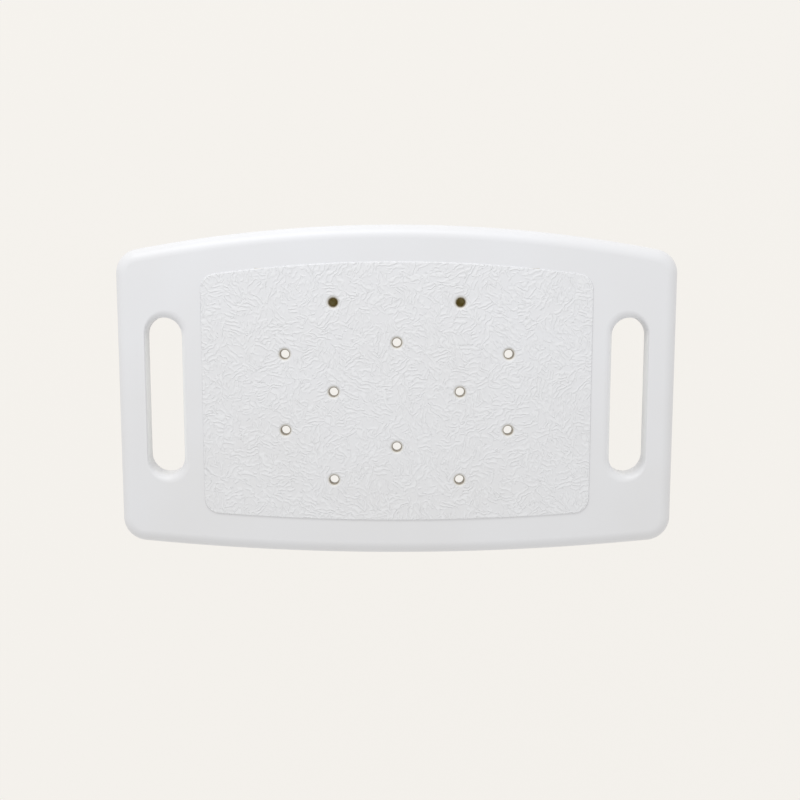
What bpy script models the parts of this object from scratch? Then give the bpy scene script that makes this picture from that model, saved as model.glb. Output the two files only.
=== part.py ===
"""Folding shower bench: a hollow moulded seat board on two folding leg frames with sliding legs.

Metres, +Z up. The origin is on the floor under the middle of the seat, +X runs along the seat
and +Y runs to its back edge. The bench stands open, with its legs at their shortest.
"""

import math
from dataclasses import dataclass

import bmesh
import bpy
from mathutils import Matrix, Vector

# Clearance between pieces that touch or slide
GAP = 0.0003

# Seat board
SEAT_LENGTH = 0.500
SEAT_DEPTH = 0.298
SEAT_THICKNESS = 0.027
SEAT_HEIGHT = 0.395
SEAT_WALL = 0.003
SEAT_CORNER_RADIUS = 0.022
BACK_EDGE_RADIUS = 1.250
FRONT_EDGE_RADIUS = 2.300
TOP_RIM_RADIUS = 0.012
BOTTOM_RIM_RADIUS = 0.008
CAVITY_RIM_RADIUS = 0.008

# Hand slots
SLOT_FROM_END = 0.04215
SLOT_Y = -0.0043
SLOT_WIDTH = 0.0314
SLOT_LENGTH = 0.142
SLOT_TOP_LIP = 0.007
SLOT_OUTER_LIP = 0.0014
SLOT_BOTTOM_LIP = 0.004
SLOT_DRAFT = 0.0014
SLOT_SLEEVE = 0.005

# Raised textured field on top of the board
FIELD_RISE = 0.001
FIELD_TO_SLOT = 0.01115
FIELD_BACK_MARGIN = 0.0324
FIELD_FRONT_MARGIN = 0.0324
FIELD_BACK_RADIUS = 1.220
FIELD_FRONT_RADIUS = 2.030
FIELD_CORNER_RADIUS = 0.014
FIELD_ROOT = 0.0015

# Drain holes, each through the floor of a cone pressed up from below
CLIP_DRAIN = (0.0565, 0.0805)
DRAIN_PLACES = (
    (-CLIP_DRAIN[0], CLIP_DRAIN[1]),
    CLIP_DRAIN,
    (0.0, 0.0448),
    (-0.0998, 0.0345),
    (0.0998, 0.0345),
    (-0.0565, 0.0006),
    (0.0565, 0.0006),
    (-0.0998, -0.034),
    (0.0998, -0.034),
    (0.0, -0.0491),
    (-0.0565, -0.0792),
    (0.0565, -0.0792),
)
DRAIN_RADIUS = 0.0038
DRAIN_LIP = 0.0035
DRAIN_FLOOR = 0.007
CONE_TOP_RADIUS = 0.008
CONE_FOOT_RADIUS = 0.013
VENT_RADIUS = 0.003
VENT_Y = -0.105

# Leg tubes
TUBE_RADIUS = 0.0127
TUBE_WALL = 0.0014
BEND_RADIUS = 0.050
LOWER_TUBE_WALL = 0.0014
LOWER_TUBE_BELOW_BEND = 0.006
LOWER_TUBE_SHOWING = 0.0228
STRETCHER_RADIUS = 0.0095
STRETCHER_WALL = 0.0012
STRETCHER_TO_COLLAR = 0.0035
SPLAY = math.radians(9.0)
RIGHT_HALF_WIDTH = 0.084
LEG_PASSING_GAP = 0.0033
FOLDED_FOOT_GAP = 0.003
FOOT_TO_TUBE_GAP = 0.0093

# Height holes and the snap buttons that catch in them
HOLE_COUNT = 7
FIRST_HOLE_IN_TUBE = 0.014
LAST_HOLE_TO_END = 0.058
BUTTON_RADIUS = 0.0038
BUTTON_STANDS_OUT = 0.004
BUTTON_DOME = 0.0013
BUTTON_FLANGE_EXTRA = 0.0012
BUTTON_FLANGE_HEIGHT = 0.0015
SPRING_STRIP = 0.0008
SPRING_WIDTH = 0.006
SPRING_DEPTH = 0.046
SPRING_TIP = 0.005
SPRING_BEND = 0.004
PLUG_DEPTH = 0.006
PLUG_FLANGE = 0.0015
PLUG_BORE = 0.004

# End collars, feet and their washers
COLLAR_WALL = 0.002
COLLAR_GRIP = 0.010
COLLAR_LIP = 0.006
FOOT_RADIUS = 0.018
FOOT_WALL = 0.003
FOOT_SOCKET = 0.024
FOOT_SOLE = 0.009
FOOT_RIM = 0.005
FOOT_TAPER = 0.008
WASHER_THICKNESS = 0.0016
WASHER_BORE = 0.004

# Hinge brackets, their caps and screws
BRACKET_WIDTH = 0.019
BRACKET_SET_IN = 0.006
BRACKET_END_WALL = 0.0015
CAP_FLOOR = 0.006
CAP_EDGE = 0.0015
GUSSET_THICKNESS = 0.008
GUSSET_HALF_WIDTH = 0.011
GUSSET_REACH = 0.055
GUSSET_SHOULDER = 0.005
SADDLE_TO_SCREW = 0.0022
SCREW_TO_SLOT = 0.00485
SCREW_RADIUS = 0.003
SCREW_BITE = 0.016
SCREW_HEAD_RADIUS = 0.0055
SCREW_HEAD_HEIGHT = 0.0038
SOCKET_RADIUS = 0.0022
SOCKET_DEPTH = 0.0022
BOSS_WALL = 0.004

# Storage clips
CLIP_PLATE = 0.0035
CLIP_PLATE_MARGIN = 0.002
CLIP_SCREW_MARGIN = 0.0075
CLIP_FINGER = 0.0034
CLIP_FINGER_TIP = 0.006
CLIP_STEM_HALF = 0.008
CLIP_SEAT = 0.0035
CLIP_GRIP_WIDTH = 0.014
CLIP_TO_LEG = 0.0023
CLIP_TO_SCREW = 0.0085
CLIP_SPIGOT = 0.005
CLIP_SCREW_RADIUS = 0.002
CLIP_SCREW_BITE = 0.012
CLIP_HEAD_RADIUS = 0.004
CLIP_HEAD_HEIGHT = 0.0026
CLIP_SOCKET_RADIUS = 0.0016
CLIP_SOCKET_DEPTH = 0.0014

# How finely round shapes are faceted
TUBE_SIDES = 20
STRETCHER_SIDES = 16
BUTTON_SIDES = 10
SCREW_SIDES = 10
DRAIN_SIDES = 10
FOOT_SIDES = 20
WASHER_SIDES = 16
BEND_STEPS = 5
GUSSET_STEPS = 5
SPRING_BEND_STEPS = 4
SLOT_END_STEPS = 8
CORNER_STEPS = 4
BACK_EDGE_STEPS = 8
FRONT_EDGE_STEPS = 6
RIM_STEPS = 3
LIP_STEPS = 3
SMOOTH_ANGLE = math.radians(35.0)
MERGE_DISTANCE = 1e-6
OVERCUT = 0.001

# Colour, roughness and metallic value of each material
MATERIALS = {
    "white_polyethylene": ((0.80, 0.81, 0.81), 0.42, 0.0),
    "black_nylon": ((0.03, 0.03, 0.032), 0.50, 0.0),
    "grey_nylon": ((0.52, 0.53, 0.54), 0.50, 0.0),
    "anodised_aluminium": ((0.78, 0.79, 0.80), 0.32, 1.0),
    "grey_rubber": ((0.16, 0.165, 0.17), 0.80, 0.0),
    "stainless_steel": ((0.62, 0.61, 0.60), 0.28, 1.0),
}

# Sizes of the seat that follow
SEAT_TOP = SEAT_HEIGHT - FIELD_RISE
UNDERSIDE = SEAT_TOP - SEAT_THICKNESS
SLOT_X = SEAT_LENGTH / 2 - SLOT_FROM_END
FIELD_HALF_LENGTH = SLOT_X - SLOT_WIDTH / 2 - SLOT_TOP_LIP - FIELD_TO_SLOT
FIELD_BACK_Y = SEAT_DEPTH / 2 - FIELD_BACK_MARGIN
FIELD_FRONT_Y = FIELD_FRONT_MARGIN - SEAT_DEPTH / 2
CONE_SLOPE = (CONE_FOOT_RADIUS - CONE_TOP_RADIUS) / (SEAT_THICKNESS - DRAIN_FLOOR)

# Sizes of the hinges that follow
SADDLE_RADIUS = TUBE_RADIUS + GAP
CAP_REACH = SADDLE_RADIUS + CAP_FLOOR
SCREW_OFFSET = SADDLE_RADIUS + SADDLE_TO_SCREW + SCREW_RADIUS + GAP
BRACKET_HALF_LENGTH = SCREW_OFFSET + SCREW_HEAD_RADIUS + BRACKET_END_WALL
HINGE_X = SLOT_X - SLOT_WIDTH / 2 - SCREW_TO_SLOT - SCREW_RADIUS - GAP - SCREW_OFFSET


@dataclass(frozen=True)
class LegSet:
    """One folding leg frame: its side (-1 left, 1 right), half its width and its hinge's drop."""

    name: str
    side: int
    half_width: float
    drop: float

    @property
    def hinge_z(self):
        return UNDERSIDE - self.drop

    @property
    def length(self):
        """From the hinge axis to the floor, along the leg."""
        return self.hinge_z / math.cos(SPLAY)

    @property
    def saddle_y(self):
        """Middle of a hinge bracket's saddle, on the straight part of the hinge tube."""
        return self.half_width - BEND_RADIUS - BRACKET_SET_IN - BRACKET_WIDTH / 2

    @property
    def clip_x(self):
        """Where the stretcher comes to lie when this frame is folded."""
        return self.side * (HINGE_X - STRETCHER_REACH)


# The left frame is wider and hangs higher, so the right one folds between its legs and under it
LEFT_HALF_WIDTH = RIGHT_HALF_WIDTH + TUBE_RADIUS + LEG_PASSING_GAP + FOOT_RADIUS
LEFT_DROP = FOOT_RADIUS + FOLDED_FOOT_GAP
RIGHT_DROP = LEFT_DROP + FOOT_RADIUS + FOOT_TO_TUBE_GAP + TUBE_RADIUS
LEFT = LegSet("left", -1, LEFT_HALF_WIDTH, LEFT_DROP)
RIGHT = LegSet("right", 1, RIGHT_HALF_WIDTH, RIGHT_DROP)
ENDS = (("front", -1), ("back", 1))

# Sizes of the legs that follow, measured down the leg from the hinge axis
LOWER_TUBE_RADIUS = TUBE_RADIUS - TUBE_WALL - GAP
LOWER_TUBE_BORE = LOWER_TUBE_RADIUS - LOWER_TUBE_WALL
FOOT_SOCKET_RADIUS = LOWER_TUBE_RADIUS + GAP
UPPER_TUBE_REACH = RIGHT.length - FOOT_SOLE - FOOT_SOCKET - LOWER_TUBE_SHOWING - COLLAR_LIP
STRETCHER_REACH = UPPER_TUBE_REACH - COLLAR_GRIP - STRETCHER_TO_COLLAR - STRETCHER_RADIUS
LOWER_TUBE_TOP = BEND_RADIUS + LOWER_TUBE_BELOW_BEND
FIRST_HOLE = LOWER_TUBE_TOP + FIRST_HOLE_IN_TUBE
HOLE_PITCH = (UPPER_TUBE_REACH - LAST_HOLE_TO_END - FIRST_HOLE) / (HOLE_COUNT - 1)
BUTTON_FLANGE_RADIUS = BUTTON_RADIUS + BUTTON_FLANGE_EXTRA
BUTTON_FLANGE_TOP = math.sqrt(LOWER_TUBE_BORE**2 - BUTTON_FLANGE_RADIUS**2) - GAP

# Places of the storage clips that follow
CLIP_GRIP_BACK_Y = RIGHT.half_width - TUBE_RADIUS - CLIP_TO_LEG
CLIP_GRIP_FRONT_Y = CLIP_GRIP_BACK_Y - CLIP_GRIP_WIDTH
CLIP_SCREW_Y = CLIP_GRIP_FRONT_Y - CLIP_TO_SCREW
CLIP_FRONT_Y = CLIP_SCREW_Y - CLIP_SCREW_MARGIN
CLIP_BACK_Y = CLIP_DRAIN[1] + CONE_FOOT_RADIUS + CLIP_PLATE_MARGIN


def clear_scene():
    for scene_object in list(bpy.data.objects):
        bpy.data.objects.remove(scene_object, do_unlink=True)


def material_named(name):
    """The named material, made the first time that a piece asks for it."""
    material = bpy.data.materials.get(name)
    if material:
        return material
    colour, roughness, metallic = MATERIALS[name]
    material = bpy.data.materials.new(name)
    material.use_nodes = True
    shader = material.node_tree.nodes["Principled BSDF"]
    shader.inputs["Base Color"].default_value = (*colour, 1.0)
    shader.inputs["Roughness"].default_value = roughness
    shader.inputs["Metallic"].default_value = metallic
    return material


def finish(name, shape, material=None, parent=None, place=(0.0, 0.0, 0.0)):
    """Turns a bmesh into a named object, smooth across round faces and sharp at edges."""
    bmesh.ops.recalc_face_normals(shape, faces=shape.faces)
    mesh = bpy.data.meshes.new(name)
    shape.to_mesh(mesh)
    shape.free()
    mesh.shade_smooth()
    mesh.set_sharp_from_angle(angle=SMOOTH_ANGLE)
    piece = bpy.data.objects.new(name, mesh)
    piece.location = place
    piece.parent = parent
    if material:
        mesh.materials.append(material_named(material))
    bpy.context.scene.collection.objects.link(piece)
    return piece


def helper(name, shape, parent=None, place=(0.0, 0.0, 0.0)):
    """A shape that only cuts or joins others, and isn't a piece of the bench."""
    tool = finish(name, shape, parent=parent, place=place)
    tool.hide_render = True
    tool.display_type = "WIRE"
    return tool


def combine(piece, operation, tool):
    modifier = piece.modifiers.new(tool.name, "BOOLEAN")
    modifier.operation = operation
    modifier.solver = "EXACT"
    modifier.object = tool


def empty(name, place, turn=0.0, parent=None):
    """An axis that pieces hang from, turned about Y."""
    axis = bpy.data.objects.new(name, None)
    axis.location = place
    axis.rotation_euler = (0.0, turn, 0.0)
    axis.parent = parent
    bpy.context.scene.collection.objects.link(axis)
    return axis


def loft(rings):
    """A closed solid through rings of as many points each, lowest ring first."""
    shape = bmesh.new()
    loops = [[shape.verts.new(point) for point in ring] for ring in rings]
    for low, high in zip(loops, loops[1:]):
        for i, corner in enumerate(low):
            j = (i + 1) % len(low)
            shape.faces.new((corner, low[j], high[j], high[i]))
    shape.faces.new(reversed(loops[0]))
    shape.faces.new(loops[-1])
    return shape


def turned(profile, sides, ring=False):
    """A body turned about Z from (radius, height) points. A ring's profile closes on itself."""
    shape = bmesh.new()
    points = [shape.verts.new((radius, 0.0, height)) for radius, height in profile]
    edges = [shape.edges.new(pair) for pair in zip(points, points[1:])]
    if ring:
        edges.append(shape.edges.new((points[-1], points[0])))
    bmesh.ops.spin(
        shape,
        geom=points + edges,
        cent=(0.0, 0.0, 0.0),
        axis=(0.0, 0.0, 1.0),
        angle=math.tau,
        steps=sides,
        use_merge=True,
    )
    bmesh.ops.remove_doubles(shape, verts=shape.verts, dist=MERGE_DISTANCE)
    return shape


def rod(radius, low, high, sides):
    return turned([(0.0, low), (radius, low), (radius, high), (0.0, high)], sides)


def extruded(outline, low, high):
    """A prism from (x, z) points, running along Y from low to high."""
    shape = bmesh.new()
    face = shape.faces.new([shape.verts.new((x, low, z)) for x, z in outline])
    grown = bmesh.ops.extrude_face_region(shape, geom=[face])["geom"]
    far = [item for item in grown if isinstance(item, bmesh.types.BMVert)]
    bmesh.ops.translate(shape, verts=far, vec=(0.0, high - low, 0.0))
    return shape


def joined(shapes):
    """One bmesh that holds several separate closed shapes, for use as a cutter."""
    whole = bmesh.new()
    for shape in shapes:
        scrap = bpy.data.meshes.new("scrap")
        shape.to_mesh(scrap)
        shape.free()
        whole.from_mesh(scrap)
        bpy.data.meshes.remove(scrap)
    return whole


def moved(shape, offset):
    bmesh.ops.translate(shape, verts=shape.verts, vec=offset)
    return shape


def aimed(shape, direction):
    """Turns a shape made along +Z so that it points along direction."""
    turn = Vector((0.0, 0.0, 1.0)).rotation_difference(Vector(direction))
    bmesh.ops.rotate(shape, verts=shape.verts, matrix=turn.to_matrix())
    return shape


def mirrored(shape, side, end):
    """The copy of a shape on the given side (x) and end (y) of the bench."""
    bmesh.ops.scale(shape, verts=shape.verts, vec=(side, end, 1.0))
    return shape


def arc(centre, radius, start, stop, steps):
    return [
        (
            centre[0] + radius * math.cos(start + (stop - start) * i / steps),
            centre[1] + radius * math.sin(start + (stop - start) * i / steps),
        )
        for i in range(steps + 1)
    ]


def bowed_outline(half_length, back_y, front_y, back_radius, front_radius, corner):
    """A rounded rectangle whose back and front edges bow outwards, counter-clockwise from above."""
    back_centre = back_y - back_radius
    front_centre = front_y + front_radius
    x = half_length - corner
    back_rise = math.sqrt((back_radius - corner) ** 2 - x**2)
    front_rise = math.sqrt((front_radius - corner) ** 2 - x**2)
    back_turn = math.atan2(back_rise, x)
    front_turn = math.atan2(front_rise, x)
    back = (x, back_centre + back_rise)
    front = (x, front_centre - front_rise)
    points = arc(front, corner, -front_turn, 0.0, CORNER_STEPS)
    points += arc(back, corner, 0.0, back_turn, CORNER_STEPS)
    sweep = (back_turn, math.pi - back_turn)
    points += arc((0.0, back_centre), back_radius, *sweep, BACK_EDGE_STEPS)[1:-1]
    points += arc((-x, back[1]), corner, math.pi - back_turn, math.pi, CORNER_STEPS)
    points += arc((-x, front[1]), corner, math.pi, math.pi + front_turn, CORNER_STEPS)
    sweep = (math.pi + front_turn, math.tau - front_turn)
    points += arc((0.0, front_centre), front_radius, *sweep, FRONT_EDGE_STEPS)[1:-1]
    return points


def seat_outline(inset, corner):
    return bowed_outline(
        SEAT_LENGTH / 2 - inset,
        SEAT_DEPTH / 2 - inset,
        inset - SEAT_DEPTH / 2,
        BACK_EDGE_RADIUS - inset,
        FRONT_EDGE_RADIUS - inset,
        corner,
    )


def rounded_edge(radius, steps):
    """(inset, rise) pairs up a quarter round, from a flat face out to an upright side."""
    turns = [math.pi / 2 * i / steps for i in range(steps + 1)]
    return [(radius * (1 - math.sin(turn)), radius * (1 - math.cos(turn))) for turn in turns]


def board_rings(inset, low, high, bottom_radius, top_radius):
    """Rings of the board's outline from low to high, rounded below and above."""
    profile = [(edge + inset, low + rise) for edge, rise in rounded_edge(bottom_radius, RIM_STEPS)]
    profile += [
        (edge + inset, high - rise) for edge, rise in reversed(rounded_edge(top_radius, RIM_STEPS))
    ]
    rings = []
    for edge, height in profile:
        corner = SEAT_CORNER_RADIUS - edge
        rings.append([(x, y, height) for x, y in seat_outline(edge, corner)])
    return rings


def field_shape():
    """The raised field, with a bevelled edge, rooted a little inside the board."""
    low = SEAT_TOP - FIELD_ROOT
    rings = []
    for inset, height in ((0.0, low), (0.0, SEAT_TOP), (FIELD_RISE, SEAT_HEIGHT)):
        outline = bowed_outline(
            FIELD_HALF_LENGTH - inset,
            FIELD_BACK_Y - inset,
            FIELD_FRONT_Y + inset,
            FIELD_BACK_RADIUS - inset,
            FIELD_FRONT_RADIUS - inset,
            FIELD_CORNER_RADIUS - inset,
        )
        rings.append([(x, y, height) for x, y in outline])
    return loft(rings)


def slot_ring(offset, height, side=1, inset=0.0):
    """A hand slot's outline, grown by offset, at a height, its outer side drawn in by inset."""
    radius = (SLOT_WIDTH - inset) / 2 + offset
    reach = (SLOT_LENGTH - SLOT_WIDTH + inset) / 2
    x = -side * inset / 2
    points = arc((x, reach), radius, 0.0, math.pi, SLOT_END_STEPS)
    points += arc((x, -reach), radius, math.pi, math.tau, SLOT_END_STEPS)
    return [(x, y, height) for x, y in points]


def slot_cutter(side):
    """A hand slot with rolled lips, its outer wall steep above and drafted outwards below."""
    lower = [(edge, UNDERSIDE + rise) for edge, rise in rounded_edge(SLOT_BOTTOM_LIP, LIP_STEPS)]
    upper = [(edge, SEAT_TOP - rise) for edge, rise in rounded_edge(SLOT_TOP_LIP, LIP_STEPS)]
    low = [(SLOT_BOTTOM_LIP, UNDERSIDE - OVERCUT)] + lower
    high = upper[::-1] + [(SLOT_TOP_LIP, SEAT_TOP + OVERCUT)]
    share = 1 - SLOT_OUTER_LIP / SLOT_TOP_LIP
    rings = [slot_ring(edge, height, side, -SLOT_DRAFT) for edge, height in low]
    rings += [slot_ring(edge, height, side, share * edge) for edge, height in high]
    return moved(loft(rings), (side * SLOT_X, SLOT_Y, 0.0))


def slot_sleeve(side):
    """What the hand slot's wall keeps out of the cavity."""
    heights = (UNDERSIDE - OVERCUT, SEAT_TOP + OVERCUT)
    shape = loft([slot_ring(SLOT_SLEEVE, height) for height in heights])
    return moved(shape, (side * SLOT_X, SLOT_Y, 0.0))


def drain_cutter(x, y):
    """A rolled drain hole over the cone that is pressed up from below."""
    floor = SEAT_TOP - DRAIN_FLOOR
    profile = [
        (0.0, UNDERSIDE - OVERCUT),
        (CONE_FOOT_RADIUS + CONE_SLOPE * OVERCUT, UNDERSIDE - OVERCUT),
        (CONE_TOP_RADIUS, floor),
        (DRAIN_RADIUS, floor),
    ]
    lip = rounded_edge(DRAIN_LIP, LIP_STEPS)
    profile += [(DRAIN_RADIUS + edge, SEAT_HEIGHT - rise) for edge, rise in reversed(lip)]
    profile += [(DRAIN_RADIUS + DRAIN_LIP, SEAT_HEIGHT + OVERCUT), (0.0, SEAT_HEIGHT + OVERCUT)]
    return moved(turned(profile, DRAIN_SIDES), (x, y, 0.0))


def drain_post(x, y):
    """What a drain's cone and its wall keep out of the cavity."""
    profile = [
        (0.0, UNDERSIDE),
        (CONE_FOOT_RADIUS + SEAT_WALL, UNDERSIDE),
        (CONE_TOP_RADIUS + SEAT_WALL, SEAT_TOP),
        (0.0, SEAT_TOP),
    ]
    return moved(turned(profile, DRAIN_SIDES), (x, y, 0.0))


def bracket_screw_places():
    """Where the bracket screws stand: one each side of the hinge axis at every saddle."""
    return [
        (legs.side * (HINGE_X + offset), end * legs.saddle_y)
        for legs in (LEFT, RIGHT)
        for _, end in ENDS
        for offset in (-SCREW_OFFSET, SCREW_OFFSET)
    ]


def clip_screw_places():
    return [(legs.clip_x, CLIP_SCREW_Y) for legs in (LEFT, RIGHT)]


def build_seat_board():
    outer = board_rings(0.0, UNDERSIDE, SEAT_TOP, BOTTOM_RIM_RADIUS, TOP_RIM_RADIUS)
    board = finish("seat_board", loft(outer), "white_polyethylene")
    low, high = UNDERSIDE + SEAT_WALL, SEAT_TOP - SEAT_WALL
    inner = board_rings(SEAT_WALL, low, high, CAVITY_RIM_RADIUS, CAVITY_RIM_RADIUS)
    cavity = helper("seat_cavity", loft(inner))
    posts = [drain_post(x, y) for x, y in DRAIN_PLACES]
    combine(cavity, "DIFFERENCE", helper("drain_posts", joined(posts)))
    screws = bracket_screw_places() + clip_screw_places()
    boss = SCREW_RADIUS + BOSS_WALL
    bosses = [moved(rod(boss, UNDERSIDE, SEAT_TOP, SCREW_SIDES), (x, y, 0.0)) for x, y in screws]
    combine(cavity, "DIFFERENCE", helper("screw_bosses", joined(bosses)))
    sleeves = [slot_sleeve(side) for side in (-1, 1)]
    combine(cavity, "DIFFERENCE", helper("slot_sleeves", joined(sleeves)))
    combine(board, "UNION", helper("raised_field", field_shape()))
    combine(board, "DIFFERENCE", cavity)
    slots = [slot_cutter(side) for side in (-1, 1)]
    combine(board, "DIFFERENCE", helper("hand_slots", joined(slots)))
    drains = [drain_cutter(x, y) for x, y in DRAIN_PLACES]
    combine(board, "DIFFERENCE", helper("drain_holes", joined(drains)))
    pilots = [
        moved(pilot_hole(SCREW_RADIUS, SCREW_BITE), (x, y, 0.0)) for x, y in bracket_screw_places()
    ]
    pilots += [
        moved(pilot_hole(CLIP_SCREW_RADIUS, CLIP_SCREW_BITE), (x, y, 0.0))
        for x, y in clip_screw_places()
    ]
    vent = rod(VENT_RADIUS, UNDERSIDE - OVERCUT, UNDERSIDE + SEAT_WALL + OVERCUT, SCREW_SIDES)
    pilots.append(moved(vent, (0.0, VENT_Y, 0.0)))
    combine(board, "DIFFERENCE", helper("pilot_holes", joined(pilots)))


def pilot_hole(radius, bite):
    """The blind hole that a screw of this radius and bite fills, upright at the origin."""
    return rod(radius + GAP, UNDERSIDE - OVERCUT, UNDERSIDE + bite + GAP, SCREW_SIDES)


def screw_shape(radius, seat, bite, head_radius, head_height, socket_radius, socket_depth):
    """A round-headed screw, head down under seat, reaching bite into the board."""
    head = seat - head_height
    return turned(
        [
            (0.0, head + socket_depth),
            (socket_radius, head + socket_depth),
            (socket_radius, head),
            (head_radius - socket_depth / 2, head),
            (head_radius, head + head_height / 2),
            (head_radius, seat),
            (radius, seat),
            (radius, UNDERSIDE + bite),
            (0.0, UNDERSIDE + bite),
        ],
        SCREW_SIDES,
    )


def saddle_arc(start, stop):
    """The half round that holds the hinge tube, as (x, z) points off the hinge axis."""
    return arc((0.0, 0.0), SADDLE_RADIUS, start, stop, TUBE_SIDES // 2)[1:-1]


def bracket_holes(legs, low, high):
    holes = []
    for offset in (-SCREW_OFFSET, SCREW_OFFSET):
        hole = rod(SCREW_RADIUS + GAP, low, high, SCREW_SIDES)
        holes.append(moved(hole, (HINGE_X + offset, legs.saddle_y, legs.hinge_z)))
    return joined(holes)


def stop_face_x(height):
    """How far out the leg stop's face is, at a height off the hinge axis."""
    return SADDLE_RADIUS / math.cos(SPLAY) - height * math.tan(SPLAY)


def gusset_shape(legs):
    """A plate outside the bend, leaning with the leg, which comes to rest against it."""
    top = legs.drop - GAP
    low = -GUSSET_REACH * math.cos(SPLAY)
    outer = legs.half_width + GUSSET_HALF_WIDTH
    cap_side = legs.saddle_y + BRACKET_WIDTH / 2 + GAP
    bend_y = legs.half_width - BEND_RADIUS
    curve = BEND_RADIUS - GUSSET_HALF_WIDTH
    outline = [(legs.saddle_y, top), (outer + GUSSET_SHOULDER - top, top)]
    outline += [(outer, GUSSET_SHOULDER), (outer, low), (bend_y + curve, low)]
    outline += arc((bend_y, -BEND_RADIUS), curve, 0.0, math.pi / 2, GUSSET_STEPS)
    outline += [(cap_side, curve - BEND_RADIUS), (cap_side, GAP / 2), (legs.saddle_y, GAP / 2)]
    faces = []
    for extra in (0.0, GUSSET_THICKNESS):
        faces.append([(stop_face_x(z) + extra, y, z) for y, z in outline])
    return moved(loft(faces), (HINGE_X, 0.0, legs.hinge_z))


def build_bracket(legs, end_name, end):
    """Saddle block and leg stop in one moulding, screwed up against the board."""
    split = GAP / 2
    top = legs.drop - GAP
    half = BRACKET_HALF_LENGTH
    block = [(half, top), (-half, top), (-half, split), (-SADDLE_RADIUS, split)]
    block += saddle_arc(math.pi, 0.0)
    block += [(SADDLE_RADIUS, split), (half, split)]
    sides = (legs.saddle_y - BRACKET_WIDTH / 2, legs.saddle_y + BRACKET_WIDTH / 2)
    shape = moved(extruded(block, *sides), (HINGE_X, 0.0, legs.hinge_z))
    name = f"{legs.name}_{end_name}_hinge_bracket"
    bracket = finish(name, mirrored(shape, legs.side, end), "grey_nylon")
    gusset = mirrored(gusset_shape(legs), legs.side, end)
    combine(bracket, "UNION", helper(f"{name}_gusset", gusset))
    holes = mirrored(bracket_holes(legs, -OVERCUT, legs.drop + OVERCUT), legs.side, end)
    combine(bracket, "DIFFERENCE", helper(f"{name}_holes", holes))


def build_cap(legs, end_name, end):
    """The lower half of the saddle."""
    half = BRACKET_HALF_LENGTH
    split = GAP / 2
    edge = CAP_EDGE
    outline = [
        (SADDLE_RADIUS, -split),
        (half, -split),
        (half, edge - CAP_REACH),
        (half - edge, -CAP_REACH),
        (edge - half, -CAP_REACH),
        (-half, edge - CAP_REACH),
        (-half, -split),
        (-SADDLE_RADIUS, -split),
    ]
    outline += saddle_arc(math.pi, math.tau)
    sides = (legs.saddle_y - BRACKET_WIDTH / 2, legs.saddle_y + BRACKET_WIDTH / 2)
    shape = moved(extruded(outline, *sides), (HINGE_X, 0.0, legs.hinge_z))
    name = f"{legs.name}_{end_name}_hinge_cap"
    cap = finish(name, mirrored(shape, legs.side, end), "grey_nylon")
    holes = mirrored(bracket_holes(legs, -CAP_REACH - OVERCUT, OVERCUT), legs.side, end)
    combine(cap, "DIFFERENCE", helper(f"{name}_holes", holes))


def build_bracket_screws(legs, end_name, end):
    seat = legs.hinge_z - CAP_REACH - GAP
    for place, offset in (("inner", -SCREW_OFFSET), ("outer", SCREW_OFFSET)):
        shape = screw_shape(
            SCREW_RADIUS,
            seat,
            SCREW_BITE,
            SCREW_HEAD_RADIUS,
            SCREW_HEAD_HEIGHT,
            SOCKET_RADIUS,
            SOCKET_DEPTH,
        )
        position = (legs.side * (HINGE_X + offset), end * legs.saddle_y, 0.0)
        name = f"{legs.name}_{end_name}_{place}_screw"
        finish(name, shape, "stainless_steel", place=position)


def clip_fingers(legs, plate_low):
    """Two fingers and their root, which hold the folded stretcher between them."""
    grip = STRETCHER_RADIUS + GAP
    outer = grip + CLIP_FINGER
    centre = legs.hinge_z
    tip = centre - CLIP_FINGER_TIP
    shoulder = centre + grip + CLIP_SEAT
    neck = shoulder + outer - CLIP_STEM_HALF
    half = [(grip, centre), (grip, tip), (outer, tip)]
    if neck < plate_low:
        half += [(outer, shoulder), (CLIP_STEM_HALF, neck)]
        half += [(CLIP_STEM_HALF, plate_low + OVERCUT)]
    else:
        half += [(outer, plate_low + OVERCUT)]
    outline = half + [(-across, height) for across, height in reversed(half)]
    outline += arc((0.0, centre), grip, math.pi, 0.0, STRETCHER_SIDES // 2)[1:-1]
    return moved(extruded(outline, CLIP_GRIP_FRONT_Y, CLIP_GRIP_BACK_Y), (legs.clip_x, 0.0, 0.0))


def clip_spigot(x, plate_low):
    """The plug that stands in a drain's cone and keeps the clip from turning."""
    foot = CONE_FOOT_RADIUS - GAP
    profile = [
        (0.0, plate_low + CLIP_PLATE / 2),
        (foot, plate_low + CLIP_PLATE / 2),
        (foot, UNDERSIDE),
        (foot - CONE_SLOPE * CLIP_SPIGOT, UNDERSIDE + CLIP_SPIGOT),
        (0.0, UNDERSIDE + CLIP_SPIGOT),
    ]
    return moved(turned(profile, DRAIN_SIDES), (x, CLIP_DRAIN[1], 0.0))


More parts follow.
